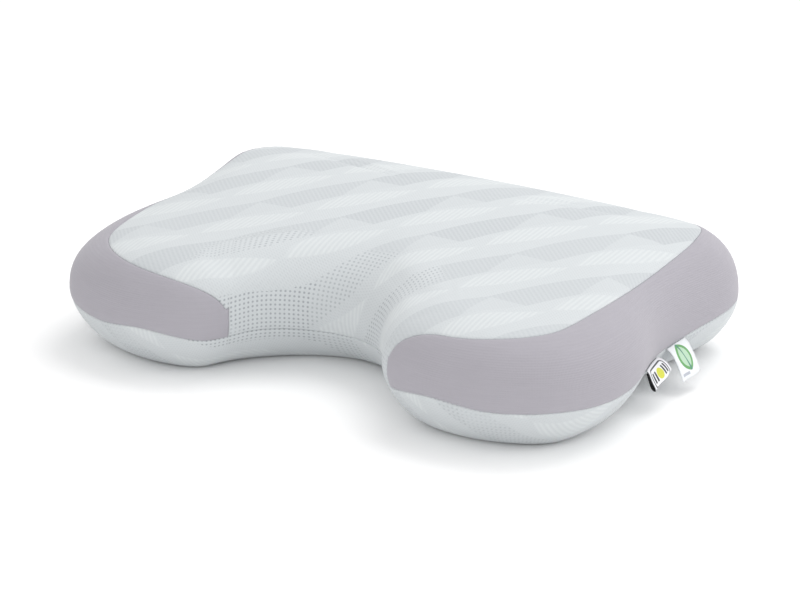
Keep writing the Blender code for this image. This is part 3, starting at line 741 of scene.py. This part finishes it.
def zipAxes():
    # The zip's middle line and its three directions, from the pull's hinge
    hinge = next(joint for joint in frame["joints"] if joint["name"] == "pull_swing")
    up = unit(np.array(hinge["axis"], float))
    along = np.array([1.0, 0, 0])
    out = np.cross(along, up)
    out *= math.copysign(1, out[1])
    coilMiddle = -zipper["tapeDepth"] + zipper["clearance"] + zipper["coilDiameter"] / 2
    back = coilMiddle + zipper["coilDiameter"] / 2 + zipper["clearance"] + zipper["sliderWall"]
    # the bar turns with half its diagonal clear of the slider
    pivotHeight = back + zipper["clearance"] + zipper["pullBar"] * math.sqrt(0.5)
    middle = np.array(hinge["pos_m"], float) - pivotHeight * out
    middle[0] = 0
    return {"middle": middle, "along": along, "up": up, "out": out, "coil": coilMiddle}


coilSpec = {
    "pitch": 0.0014, "wire": 0.00055, "turnPoints": 8, "sides": 5, "lean": 0.00022, "halfLength": 0.1560,
}


def zipCoil(name, side, node, place, finish):
    # A helix, x = t pitch with cos and sin of 2 pi t square to it, drawn out a little where it meets its mate
    radius = (zipper["coilDiameter"] - coilSpec["wire"]) / 2
    turns = 2 * coilSpec["halfLength"] / coilSpec["pitch"]
    count = int(turns * coilSpec["turnPoints"])
    t = np.linspace(0, turns, count)
    phase = 2 * math.pi * t + (0 if side > 0 else math.pi)
    offset = side * (zipper["clearance"] + zipper["coilDiameter"]) / 2
    x = -coilSpec["halfLength"] + t * coilSpec["pitch"]
    up = offset + (radius + coilSpec["lean"] * (np.cos(phase) * -side > 0)) * np.cos(phase)
    out = place["coil"] + radius * np.sin(phase)
    line = place["middle"] + x[:, None] * place["along"]
    line = line + up[:, None] * place["up"] + out[:, None] * place["out"]
    made = tube(name, line, coilSpec["wire"] / 2, coilSpec["sides"], finish)
    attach(made, "pillow")
    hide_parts(node)


stitch = {
    "length": 0.0026, "pitch": 0.0034, "radius": 0.00022, "inset": 0.0022, "arch": 0.0002,
    "past": 0.004,   # how far past the zip's ends the cloth is read
}


def zipStitching(finish):
    # Two rows of top-stitching, one beside each side of the zip: each stitch is a short arch of thread,
    # higher in the middle by 1 - (2t)^2
    turn = np.linspace(0, 2 * math.pi, 6, endpoint=False)
    t = np.linspace(-0.5, 0.5, 5)
    thickness = stitch["radius"] * np.sqrt(np.clip(1 - (2 * t) ** 4, 0.12, 1))
    profile = np.stack(np.broadcast_arrays(
        t[:, None] * stitch["length"], thickness[:, None] * np.cos(turn),
        stitch["arch"] * (1 - (2 * t[:, None]) ** 2) + thickness[:, None] * np.sin(turn)), axis=-1)
    count = int(zipper["length"] / stitch["pitch"])
    x = (np.arange(count) - (count - 1) / 2) * stitch["pitch"]
    normals = gridNormals(coverSkin)
    fromMiddle = np.abs(coverSkin["stations"] - backMiddle)
    near = np.flatnonzero(fromMiddle < zipper["length"] / 2 + stitch["past"])
    copies = []
    for upward in (True, False):
        rows = zipRows(coverSkin, upward)
        path = openedForZip(coverSkin, coverSkin["points"], upward)[rows]
        steps = arcDown(path)
        line, facing = (
            np.array([
                [np.interp(stitch["inset"], steps[:, j], track[:, j, k]) for k in range(3)] for j in near])
            for track in (path, normals[rows]))
        order = np.argsort(line[:, 0])
        at = np.column_stack([np.interp(x, line[order, 0], line[order, k]) for k in range(3)])
        up = unit(np.column_stack([np.interp(x, line[order, 0], facing[order, k]) for k in range(3)]))
        ahead = np.array([1.0, 0, 0])
        side = np.cross(up, ahead)
        copies.append(
            at[:, None, None] + profile[None, ..., :1] * ahead
            + profile[None, ..., 1:2] * side[:, None, None] + profile[None, ..., 2:] * up[:, None, None])
    stitches = np.concatenate(copies)
    points = stitches.reshape(-1, 3)
    each = len(t) * len(turn)
    quads = gridFaces(len(t), len(turn), wrap=True)
    ends = [list(range(len(turn)))[::-1], list(range(each - len(turn), each))]
    faces = []
    for k in range(len(stitches)):
        faces += (quads + k * each).tolist() + [[n + k * each for n in end] for end in ends]
    made = meshObject("zip_stitching", points, faces, finish)
    outwards(made)
    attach(made, "pillow")


def outwards(made):
    # Turns every face of a closed shape to point out
    edit = bmesh.new()
    edit.from_mesh(made.data)
    bmesh.ops.recalc_face_normals(edit, faces=edit.faces)
    edit.to_mesh(made.data)
    edit.free()


def tube(name, line, radius, sides, finish):
    # A circle carried along a line, square to it, with a flat cap at either end
    ahead = unit(np.gradient(line, axis=0))
    reference = np.array([0.31, 0.57, 0.76])
    first = unit(np.cross(ahead, reference))
    second = np.cross(ahead, first)
    turn = np.linspace(0, 2 * math.pi, sides, endpoint=False)
    ring = radius * (np.cos(turn)[:, None] * first[:, None] + np.sin(turn)[:, None] * second[:, None])
    points = (line[:, None] + ring).reshape(-1, 3)
    caps = [list(range(sides))[::-1], list(range(len(points) - sides, len(points)))]
    made = meshObject(name, points, gridFaces(len(line), sides, wrap=True).tolist() + caps, finish)
    outwards(made)
    return made


jacquard = {
    "white": "#C8CCCE", "dim": "#B9BDC0", "dot": "#868C91", "rib": "#CFD3D4",
    # slanting chains of blocks in mm: how far apart they are, how high a row is and where both start. Then
    # how far they lean for their height, and as shares of the width a chain's own width and its sides' bow.
    "acrossPeriod": 97.0, "rowPeriod": 95.0, "shift": (51.0, 10.0),
    "lean": 70.0 / 95.0, "share": 0.41, "bow": 0.06,
    "hatchPitch": 4.2, "holePitch": 4.4, "ribPitch": 4.7, "finePitch": 2.5,
}


def jacquardKnit():
    # Polyester and viscose jacquard double knit: matt, soft, with a faint bloom at grazing angles. Slanting
    # chains of hatched blocks and spikes lie on a white ground, with ribs beside them. Where the knit is
    # pulled into the cut-out, its hatching opens into rows of small holes.
    made, tree, shader = newMaterial(
        "jacquard double knit", Roughness=0.9, Sheen_Weight=0.12, Sheen_Roughness=0.5, Specular_IOR_Level=0.2)
    _, u, v = clothPlace(tree)
    stretch = addNode(tree, "Attribute", {"attribute_name": "stretch"}, {}, "Fac")
    wale = addNode(tree, "Attribute", {"attribute_name": "wale"}, {}, "Fac")
    course = addNode(tree, "Attribute", {"attribute_name": "course"}, {}, "Fac")
    across, share = jacquard["acrossPeriod"], jacquard["share"]

    # s runs across a chain and t up a row, both 0 to 1, in a leaning cell whose sides bow by sin(pi t)
    shift = jacquard["shift"][0] / across
    leaning = addNode(tree, "Math", multiplyAdd, {0: v, 1: -jacquard["lean"] / across, 2: shift})
    leaning = addNode(tree, "Math", multiplyAdd, {0: u, 1: 1 / across, 2: leaning})
    rising = addNode(tree, "Math", add, {0: v, 1: jacquard["shift"][1]})
    rising = addNode(tree, "Math", multiply, {0: rising, 1: 1 / jacquard["rowPeriod"]})
    t = addNode(tree, "Math", fraction, {0: rising})
    halfTurn = addNode(tree, "Math", multiply, {0: t, 1: math.pi})
    lens = addNode(tree, "Math", {"operation": "SINE"}, {0: halfTurn})
    leaning = addNode(tree, "Math", multiplyAdd, {0: lens, 1: jacquard["bow"], 2: leaning})
    s = addNode(tree, "Math", fraction, {0: leaning})

    # the dark shape is a block over the row's lower half and a spike, one side upright, over its upper half
    width = addNode(tree, "MapRange", {}, {0: t, 1: 0.5, 2: 1.0, 3: share, 4: 0.03})
    room = addNode(tree, "Math", subtract, {0: width, 1: s})
    dark = addNode(tree, "MapRange", softStep, {0: room, 1: -0.006, 2: 0.012})
    room = addNode(tree, "Math", subtract, {0: share, 1: s})
    chain = addNode(tree, "MapRange", softStep, {0: room, 1: -0.006, 2: 0.012})
    medium = addNode(tree, "Math", subtract, {0: chain, 1: dark})
    # each cell is a little stronger or weaker than the next
    column = addNode(tree, "Math", whole, {0: leaning})
    row = addNode(tree, "Math", whole, {0: rising})
    cell = addNode(tree, "CombineXYZ", {}, {0: column, 1: row})
    chance = addNode(tree, "TexWhiteNoise", {}, {0: cell}, "Value")
    strength = addNode(tree, "MapRange", {}, {0: chance, 3: 0.60, 4: 1.0})
    drawnOpen = addNode(tree, "MapRange", softStep, {0: stretch, 1: 0.15, 2: 0.55})
    paler = addNode(tree, "Math", multiplyAdd, {0: drawnOpen, 1: 0.35, 2: 0.30})
    hatched = addNode(tree, "Math", multiplyAdd, {0: medium, 1: paler, 2: dark})
    hatched = addNode(tree, "Math", multiply, {0: hatched, 1: strength})

    # ribs fill a lens beside each chain: as wide as sin(pi t)
    offMiddle = addNode(tree, "Math", absolute, {0: addNode(tree, "Math", subtract, {0: s, 1: 0.64})})
    room = addNode(tree, "Math", multiplyAdd, {0: lens, 1: 0.20, 2: -0.01})
    room = addNode(tree, "Math", subtract, {0: room, 1: offMiddle})
    ribbed = addNode(tree, "MapRange", softStep, {0: room, 1: -0.01, 2: 0.03})
    ribs = addNode(tree, "Math", multiply, {0: wave(tree, u, jacquard["ribPitch"]), 1: ribbed})

    # hatching: slanting lines on the flat top, square rows of holes where the knit is stretched
    diagonal = addNode(tree, "Math", add, {0: u, 1: v})
    slanted = addNode(tree, "Math", multiply, {0: diagonal, 1: math.sqrt(0.5)})
    lines = wave(tree, slanted, jacquard["hatchPitch"])
    beads = addNode(tree, "Math", multiplyAdd, {0: wave(tree, v, jacquard["holePitch"]), 1: 0.4, 2: 0.6})
    lines = addNode(tree, "Math", multiply, {0: lines, 1: beads})
    squares = addNode(tree, "Math", multiply, {
        0: wave(tree, wale, jacquard["holePitch"]), 1: wave(tree, course, jacquard["holePitch"])})
    holes = addNode(tree, "MapRange", softStep, {0: squares, 1: 0.28, 2: 0.80})
    pins = addNode(tree, "Mix", {}, {0: drawnOpen, 2: lines, 3: holes})
    showing = addNode(tree, "Math", multiplyAdd, {0: drawnOpen, 1: 0.46, 2: 0.20})
    showing = addNode(tree, "Math", multiply, {0: hatched, 1: showing})
    pins = addNode(tree, "Math", multiply, {0: pins, 1: showing})

    # the white ground's own dimples, drawn coarser than the yarn so that they show, and stronger when pulled
    dimples = addNode(tree, "Math", multiply, {
        0: wave(tree, slanted, jacquard["finePitch"]), 1: wave(tree, v, jacquard["finePitch"] * 1.2)})
    patterned = addNode(tree, "Math", largest, {0: hatched, 1: ribbed})
    ground = addNode(tree, "Math", subtract, {0: 1.0, 1: patterned})
    dimples = addNode(tree, "Math", multiply, {0: dimples, 1: ground})
    faint = addNode(tree, "Math", multiplyAdd, {0: stretch, 1: 0.07, 2: 0.09})

    closed = addNode(tree, "Math", multiplyAdd, {0: drawnOpen, 1: -0.52, 2: 0.62})
    shade = addNode(tree, "Math", multiply, {0: hatched, 1: closed})
    white, dim, rib, dot = (srgb(jacquard[name]) for name in ("white", "dim", "rib", "dot"))
    tone = addNode(tree, "Mix", colourMix, {0: shade, 6: white, 7: dim}, 2)
    tone = addNode(tree, "Mix", colourMix, {0: ribs, 6: tone, 7: rib}, 2)
    shade = addNode(tree, "Math", multiply, {0: dimples, 1: faint})
    tone = addNode(tree, "Mix", colourMix, {0: shade, 6: tone, 7: dot}, 2)
    tone = addNode(tree, "Mix", colourMix, {0: pins, 6: tone, 7: dot}, 2)

    # stitches: 1.2 mm wales and 1.5 mm courses
    stitches = addNode(tree, "Math", multiply, {0: wave(tree, u, 1.2), 1: wave(tree, v, 1.5)})
    height = addNode(tree, "Math", multiplyAdd, {0: ribs, 1: 0.7, 2: 1.0})
    height = addNode(tree, "Math", multiplyAdd, {0: stitches, 1: 0.16, 2: height})
    height = addNode(tree, "Math", multiplyAdd, {0: dimples, 1: -0.35, 2: height})
    height = addNode(tree, "Math", multiplyAdd, {0: pins, 1: -1.3, 2: height})
    finishWith(tree, shader, tone, height, 0.20 * mm)
    return made


def plainKnit():
    # Dyed polyester interlock: an even grey-lilac with level courses and a soft bloom of fibre. The courses
    # and wales are drawn 1.9 and 1.4 mm apart, coarser than the yarn, so that they show.
    made, tree, shader = newMaterial(
        "plain interlock knit",
        Roughness=0.88, Specular_IOR_Level=0.2, Sheen_Weight=0.18, Sheen_Roughness=0.45)
    inMm, u, v = clothPlace(tree)
    courses = wave(tree, v, 1.9)
    wales = wave(tree, u, 1.4)
    stretched = addNode(tree, "Mapping", {}, {0: inMm, "Scale": (0.03, 0.55, 1.0)})
    streaks = addNode(tree, "TexNoise", {}, {"Vector": stretched, "Scale": 1.0, "Detail": 2.0})
    cloudy = addNode(tree, "TexNoise", {}, {"Vector": inMm, "Scale": 0.02, "Detail": 2.0})
    cloudy = addNode(tree, "Math", multiply, {0: cloudy, 1: 0.4})
    shade = addNode(tree, "Math", multiplyAdd, {0: streaks, 1: 0.6, 2: cloudy})
    shade = addNode(tree, "Math", multiplyAdd, {0: courses, 1: 0.10, 2: shade})
    shade = addNode(tree, "MapRange", softStep, {0: shade, 1: 0.20, 2: 0.90})
    tone = addNode(tree, "Mix", colourMix, {0: shade, 6: srgb("#A4A1A8"), 7: srgb("#A9A6AD")}, 2)
    height = addNode(tree, "Math", multiplyAdd, {0: courses, 1: 1.5, 2: wales})
    finishWith(tree, shader, tone, height, 0.05 * mm)
    return made


def memoryFoam():
    # Moulded polyurethane memory foam: cream, open cells about 1 mm across under a thin moulded skin
    made, tree, shader = newMaterial("moulded memory foam", Roughness=0.95, Specular_IOR_Level=0.2)
    inMm = solidPlace(tree)[0]
    cells = addNode(tree, "TexVoronoi", {}, {"Vector": inMm, "Scale": 0.9}, "Distance")
    clouds = addNode(tree, "TexNoise", {}, {"Vector": inMm, "Scale": 0.03, "Detail": 4.0})
    tone = addNode(tree, "Mix", colourMix, {0: clouds, 6: srgb("#EFE6C9"), 7: srgb("#F6F0DC")}, 2)
    finishWith(tree, shader, tone, cells, 0.3 * mm)
    return made


def linerJersey():
    # White polyester jersey, thin and matt. Its wales are drawn 1.4 mm apart so that they show.
    made, tree, shader = newMaterial("liner jersey", Roughness=0.9, Sheen_Weight=0.2)
    _, x, y, _ = solidPlace(tree)
    wales = wave(tree, x, 1.4)
    height = addNode(tree, "Math", add, {0: wales, 1: wave(tree, y, 1.8)})
    tone = addNode(tree, "Mix", colourMix, {0: wales, 6: srgb("#F1F1EF"), 7: srgb("#EBEBEA")}, 2)
    finishWith(tree, shader, tone, height, 0.08 * mm)
    return made


def zipTapeWeave():
    # Woven polyester zip tape: dull, in a herringbone about 0.8 mm wide
    made, tree, shader = newMaterial("woven zip tape", Roughness=0.8, Sheen_Weight=0.15)
    _, x, _, z = solidPlace(tree)
    zigzag = addNode(tree, "Math", {"operation": "PINGPONG"}, {0: z, 1: 1.0})
    threads = wave(tree, addNode(tree, "Math", add, {0: x, 1: zigzag}), 0.8)
    tone = addNode(tree, "Mix", colourMix, {0: threads, 6: srgb("#B9B9BD"), 7: srgb("#CFCFD2")}, 2)
    finishWith(tree, shader, tone, threads, 0.08 * mm)
    return made


def coilNylon():
    # Extruded nylon monofilament: slightly glossy, off-white
    made, tree, shader = newMaterial("nylon monofilament", Roughness=0.35, IOR=1.53)
    drift = addNode(tree, "TexNoise", {}, {"Vector": solidPlace(tree)[0], "Scale": 0.2})
    tone = addNode(tree, "Mix", colourMix, {0: drift, 6: srgb("#C4C4C7"), 7: srgb("#D6D6D9")}, 2)
    finishWith(tree, shader, tone)
    return made


def enamelledZinc():
    # Die-cast zinc with pale stoved enamel, worn to bare metal in tiny specks
    made, tree, shader = newMaterial("enamelled die-cast zinc", Roughness=0.32)
    specks = addNode(tree, "TexNoise", {}, {"Vector": solidPlace(tree)[0], "Scale": 0.9, "Detail": 3.0})
    worn = addNode(tree, "MapRange", softStep, {0: specks, 1: 0.66, 2: 0.72})
    tone = addNode(tree, "Mix", colourMix, {0: worn, 6: srgb("#B4B3B8"), 7: srgb("#8C8C90")}, 2)
    tree.links.new(addNode(tree, "Math", multiply, {0: worn, 1: 0.9}), shader.inputs["Metallic"])
    finishWith(tree, shader, tone, specks, 0.03 * mm)
    return made


def sewingThread():
    # Spun polyester sewing thread: white, matt, twisted once in 0.6 mm
    made, tree, shader = newMaterial("spun polyester thread", Roughness=0.75, Sheen_Weight=0.2)
    _, x, _, z = solidPlace(tree)
    twist = wave(tree, addNode(tree, "Math", add, {0: x, 1: z}), 0.6)
    tone = addNode(tree, "Mix", colourMix, {0: twist, 6: srgb("#D2D4D6"), 7: srgb("#E2E3E5")}, 2)
    finishWith(tree, shader, tone, twist, 0.04 * mm)
    return made


def labelFoldedPrint():
    # Printed satin: a dark border with rounded corners round four plain bars and a yellow-green spot
    made, tree, shader = newMaterial("printed satin, bars", Roughness=0.45, Sheen_Weight=0.2)
    inMm, u, _ = clothPlace(tree)
    centre = addNode(tree, "VectorMath", subtract, {0: inMm, 1: (0.0, 11.5, 0.0)})
    away = addNode(tree, "VectorMath", absolute, {0: centre})
    past = addNode(tree, "VectorMath", subtract, {0: away, 1: (11.5, 4.5, 0.0)})
    past = addNode(tree, "VectorMath", largest, {0: past, 1: (0.0, 0.0, 0.0)})
    reach = addNode(tree, "VectorMath", length, {0: past}, "Value")
    offLine = addNode(tree, "Math", absolute, {0: addNode(tree, "Math", subtract, {0: reach, 1: 3.9})})
    border = addNode(tree, "MapRange", softStep, {0: offLine, 1: 0.85, 2: 0.55})
    x = addNode(tree, "SeparateXYZ", {}, {0: away})
    fromPair = addNode(tree, "Math", absolute, {0: addNode(tree, "Math", subtract, {0: x, 1: 9.6})})
    fromBar = addNode(tree, "Math", absolute, {0: addNode(tree, "Math", subtract, {0: fromPair, 1: 2.2})})
    beside = addNode(tree, "MapRange", softStep, {0: fromBar, 1: 1.45, 2: 1.15})
    within = addNode(tree, "MapRange", softStep, {0: x.node.outputs[1], 1: 5.0, 2: 4.7})
    bars = addNode(tree, "Math", multiply, {0: beside, 1: within})
    spot = addNode(tree, "VectorMath", length, {0: centre}, "Value")
    spot = addNode(tree, "MapRange", softStep, {0: spot, 1: 5.5, 2: 5.1})
    tone = addNode(tree, "Mix", colourMix, {0: spot, 6: srgb("#E9EAEE"), 7: srgb("#CFD03A")}, 2)
    inked = addNode(tree, "Math", largest, {0: border, 1: bars})
    tone = addNode(tree, "Mix", colourMix, {0: inked, 6: tone, 7: srgb("#20242C")}, 2)
    finishWith(tree, shader, tone, wave(tree, u, 0.5), 0.04 * mm)
    return made


def labelFlatPrint():
    # Printed satin: a green leaf, the overlap of two circles, with a pale middle and a midrib. A grey bar
    # lies below it.
    made, tree, shader = newMaterial("printed satin, leaf", Roughness=0.45, Sheen_Weight=0.2)
    inMm, u, _ = clothPlace(tree)
    reach = []
    for side in (-1, 1):
        middle = (side * 6.4, 15.0 - side * 1.2, 0.0)
        arm = addNode(tree, "VectorMath", subtract, {0: inMm, 1: middle})
        reach.append(addNode(tree, "VectorMath", length, {0: arm}, "Value"))
    both = addNode(tree, "Math", largest, {0: reach[0], 1: reach[1]})
    leaf = addNode(tree, "MapRange", softStep, {0: both, 1: 16.0, 2: 15.7})
    pale = addNode(tree, "MapRange", softStep, {0: both, 1: 13.3, 2: 12.9})
    offRib = addNode(tree, "Math", absolute, {0: addNode(tree, "Math", subtract, {0: reach[0], 1: reach[1]})})
    rib = addNode(tree, "MapRange", softStep, {0: offRib, 1: 1.3, 2: 0.8})
    rib = addNode(tree, "Math", multiply, {0: rib, 1: leaf})
    fromBar = addNode(tree, "VectorMath", absolute, {
        0: addNode(tree, "VectorMath", subtract, {0: inMm, 1: (-6.5, 30.5, 0.0)})})
    x = addNode(tree, "SeparateXYZ", {}, {0: fromBar})
    beside = addNode(tree, "MapRange", softStep, {0: x, 1: 5.2, 2: 4.9})
    within = addNode(tree, "MapRange", softStep, {0: x.node.outputs[1], 1: 1.5, 2: 1.2})
    bar = addNode(tree, "Math", multiply, {0: beside, 1: within})
    tone = addNode(tree, "Mix", colourMix, {0: leaf, 6: srgb("#E6E9EC"), 7: srgb("#5FA05C")}, 2)
    tone = addNode(tree, "Mix", colourMix, {0: pale, 6: tone, 7: srgb("#B5D3B8")}, 2)
    tone = addNode(tree, "Mix", colourMix, {0: rib, 6: tone, 7: srgb("#4F8A76")}, 2)
    tone = addNode(tree, "Mix", colourMix, {0: bar, 6: tone, 7: srgb("#B4B8C2")}, 2)
    finishWith(tree, shader, tone, wave(tree, u, 0.5), 0.04 * mm)
    return made


def plainSatin(name, dark, pale):
    # A ribbon's unprinted back: woven satin, faintly uneven. On the folded label it is near-black: painted
    # shade for the inside of the fold
    made, tree, shader = newMaterial(name, Roughness=0.5, Sheen_Weight=0.2)
    grain = addNode(tree, "TexNoise", {}, {"Vector": solidPlace(tree)[0], "Scale": 0.7})
    tone = addNode(tree, "Mix", colourMix, {0: grain, 6: srgb(dark), 7: srgb(pale)}, 2)
    finishWith(tree, shader, tone)
    return made


knit, plain = jacquardKnit(), plainKnit()
coverPanels(knit, plain)
innerLayers(memoryFoam(), linerJersey())
# the folded label's back and edges are near-black: painted shade inside the fold, over a back whose own
# colour is not known
label("label_folded", labels["folded"], labelFoldedPrint(), plainSatin("dark satin, painted shade in fold", "#1B1B1E", "#27272B"))
label("label_flat", labels["flat"], labelFlatPrint(), plainSatin("white satin", "#DADCE0", "#E6E8EB"))
print("labels made")

tapeFinish, nylon, zinc = zipTapeWeave(), coilNylon(), enamelledZinc()
place = zipAxes()
zipCoil("coil_upper", 1, "zip_coil_upper", place, nylon)
zipCoil("coil_lower", -1, "zip_coil_lower", place, nylon)
zipStitching(sewingThread())
for name, finish, slotName in (
    ("zip_tape_upper", tapeFinish, "zip_tape"), ("zip_tape_lower", tapeFinish, "zip_tape"),
    ("zip_stop_closed_end", zinc, "zip_metal"), ("zip_stop_open_end", zinc, "zip_metal"),
    ("zip_slider", zinc, "zip_metal"), ("zip_pull", zinc, "zip_metal"),
):
    node = frame["nodes"][name]
    node.data.materials.clear()
    node.data.materials.append(finish)
print("zip made")


# a white studio sweep under a broad overhead light, with a weaker light from the right and from the front
stageSpec = {
    "floor": "#FFFFFF", "world": "#FFFFFF", "worldStrength": 0.84,
    "lens": 118.64, "aim": (0.0113, -0.0120, 0.052), "azimuth": 31.72, "elevation": 20.71, "distance": 2.5555,
    "lights": (   # name, place, size, watts
        ("overhead softbox", (0.2, 0.9, 1.9), (1.8, 1.4), 19.0),
        ("right softbox", (1.9, 0.5, 1.1), (1.2, 1.0), 7.0),
        ("front fill", (0.9, -2.3, 1.4), (1.6, 1.2), 9.0),
    ),
}


def makeStage():
    floorPoints = np.array([(-4, -4, 0), (4, -4, 0), (4, 4, 0), (-4, 4, 0)], float)
    finish, _, shader = newMaterial("matt studio sweep", Roughness=0.95, Specular_IOR_Level=0.1)
    shader.inputs["Base Color"].default_value = srgb(stageSpec["floor"])
    floor = meshObject("floor", floorPoints, [[0, 1, 2, 3]], finish)
    world = bpy.data.worlds.new("studio")
    world.use_nodes = True
    sky = world.node_tree.nodes["Background"]
    sky.inputs[0].default_value = srgb(stageSpec["world"])
    sky.inputs[1].default_value = stageSpec["worldStrength"]
    bpy.context.scene.world = world
    for name, spot, size, watts in stageSpec["lights"]:
        lamp = bpy.data.lights.new(name, "AREA")
        lamp.shape, lamp.size, lamp.size_y, lamp.energy = "RECTANGLE", *size, watts
        made = bpy.data.objects.new(name, lamp)
        made.location = spot
        made.rotation_euler = (Vector((0, 0, 0.05)) - Vector(spot)).to_track_quat("-Z", "Y").to_euler()
        bpy.context.scene.collection.objects.link(made)


def makeCamera():
    # Set by its turn round the pillow, its height angle and its distance from the point it looks at
    turn, rise = math.radians(stageSpec["azimuth"]), math.radians(stageSpec["elevation"])
    away = Vector((math.sin(turn) * math.cos(rise), -math.cos(turn) * math.cos(rise), math.sin(rise)))
    camera = bpy.data.objects.new("camera", bpy.data.cameras.new("camera"))
    camera.data.lens = stageSpec["lens"]
    camera.data.sensor_width = 36
    camera.location = Vector(stageSpec["aim"]) + away * stageSpec["distance"]
    camera.rotation_euler = (-away).to_track_quat("-Z", "Y").to_euler()
    bpy.context.scene.collection.objects.link(camera)
    bpy.context.scene.camera = camera


makeStage()
makeCamera()
bpy.context.scene.view_settings.view_transform = "Standard"
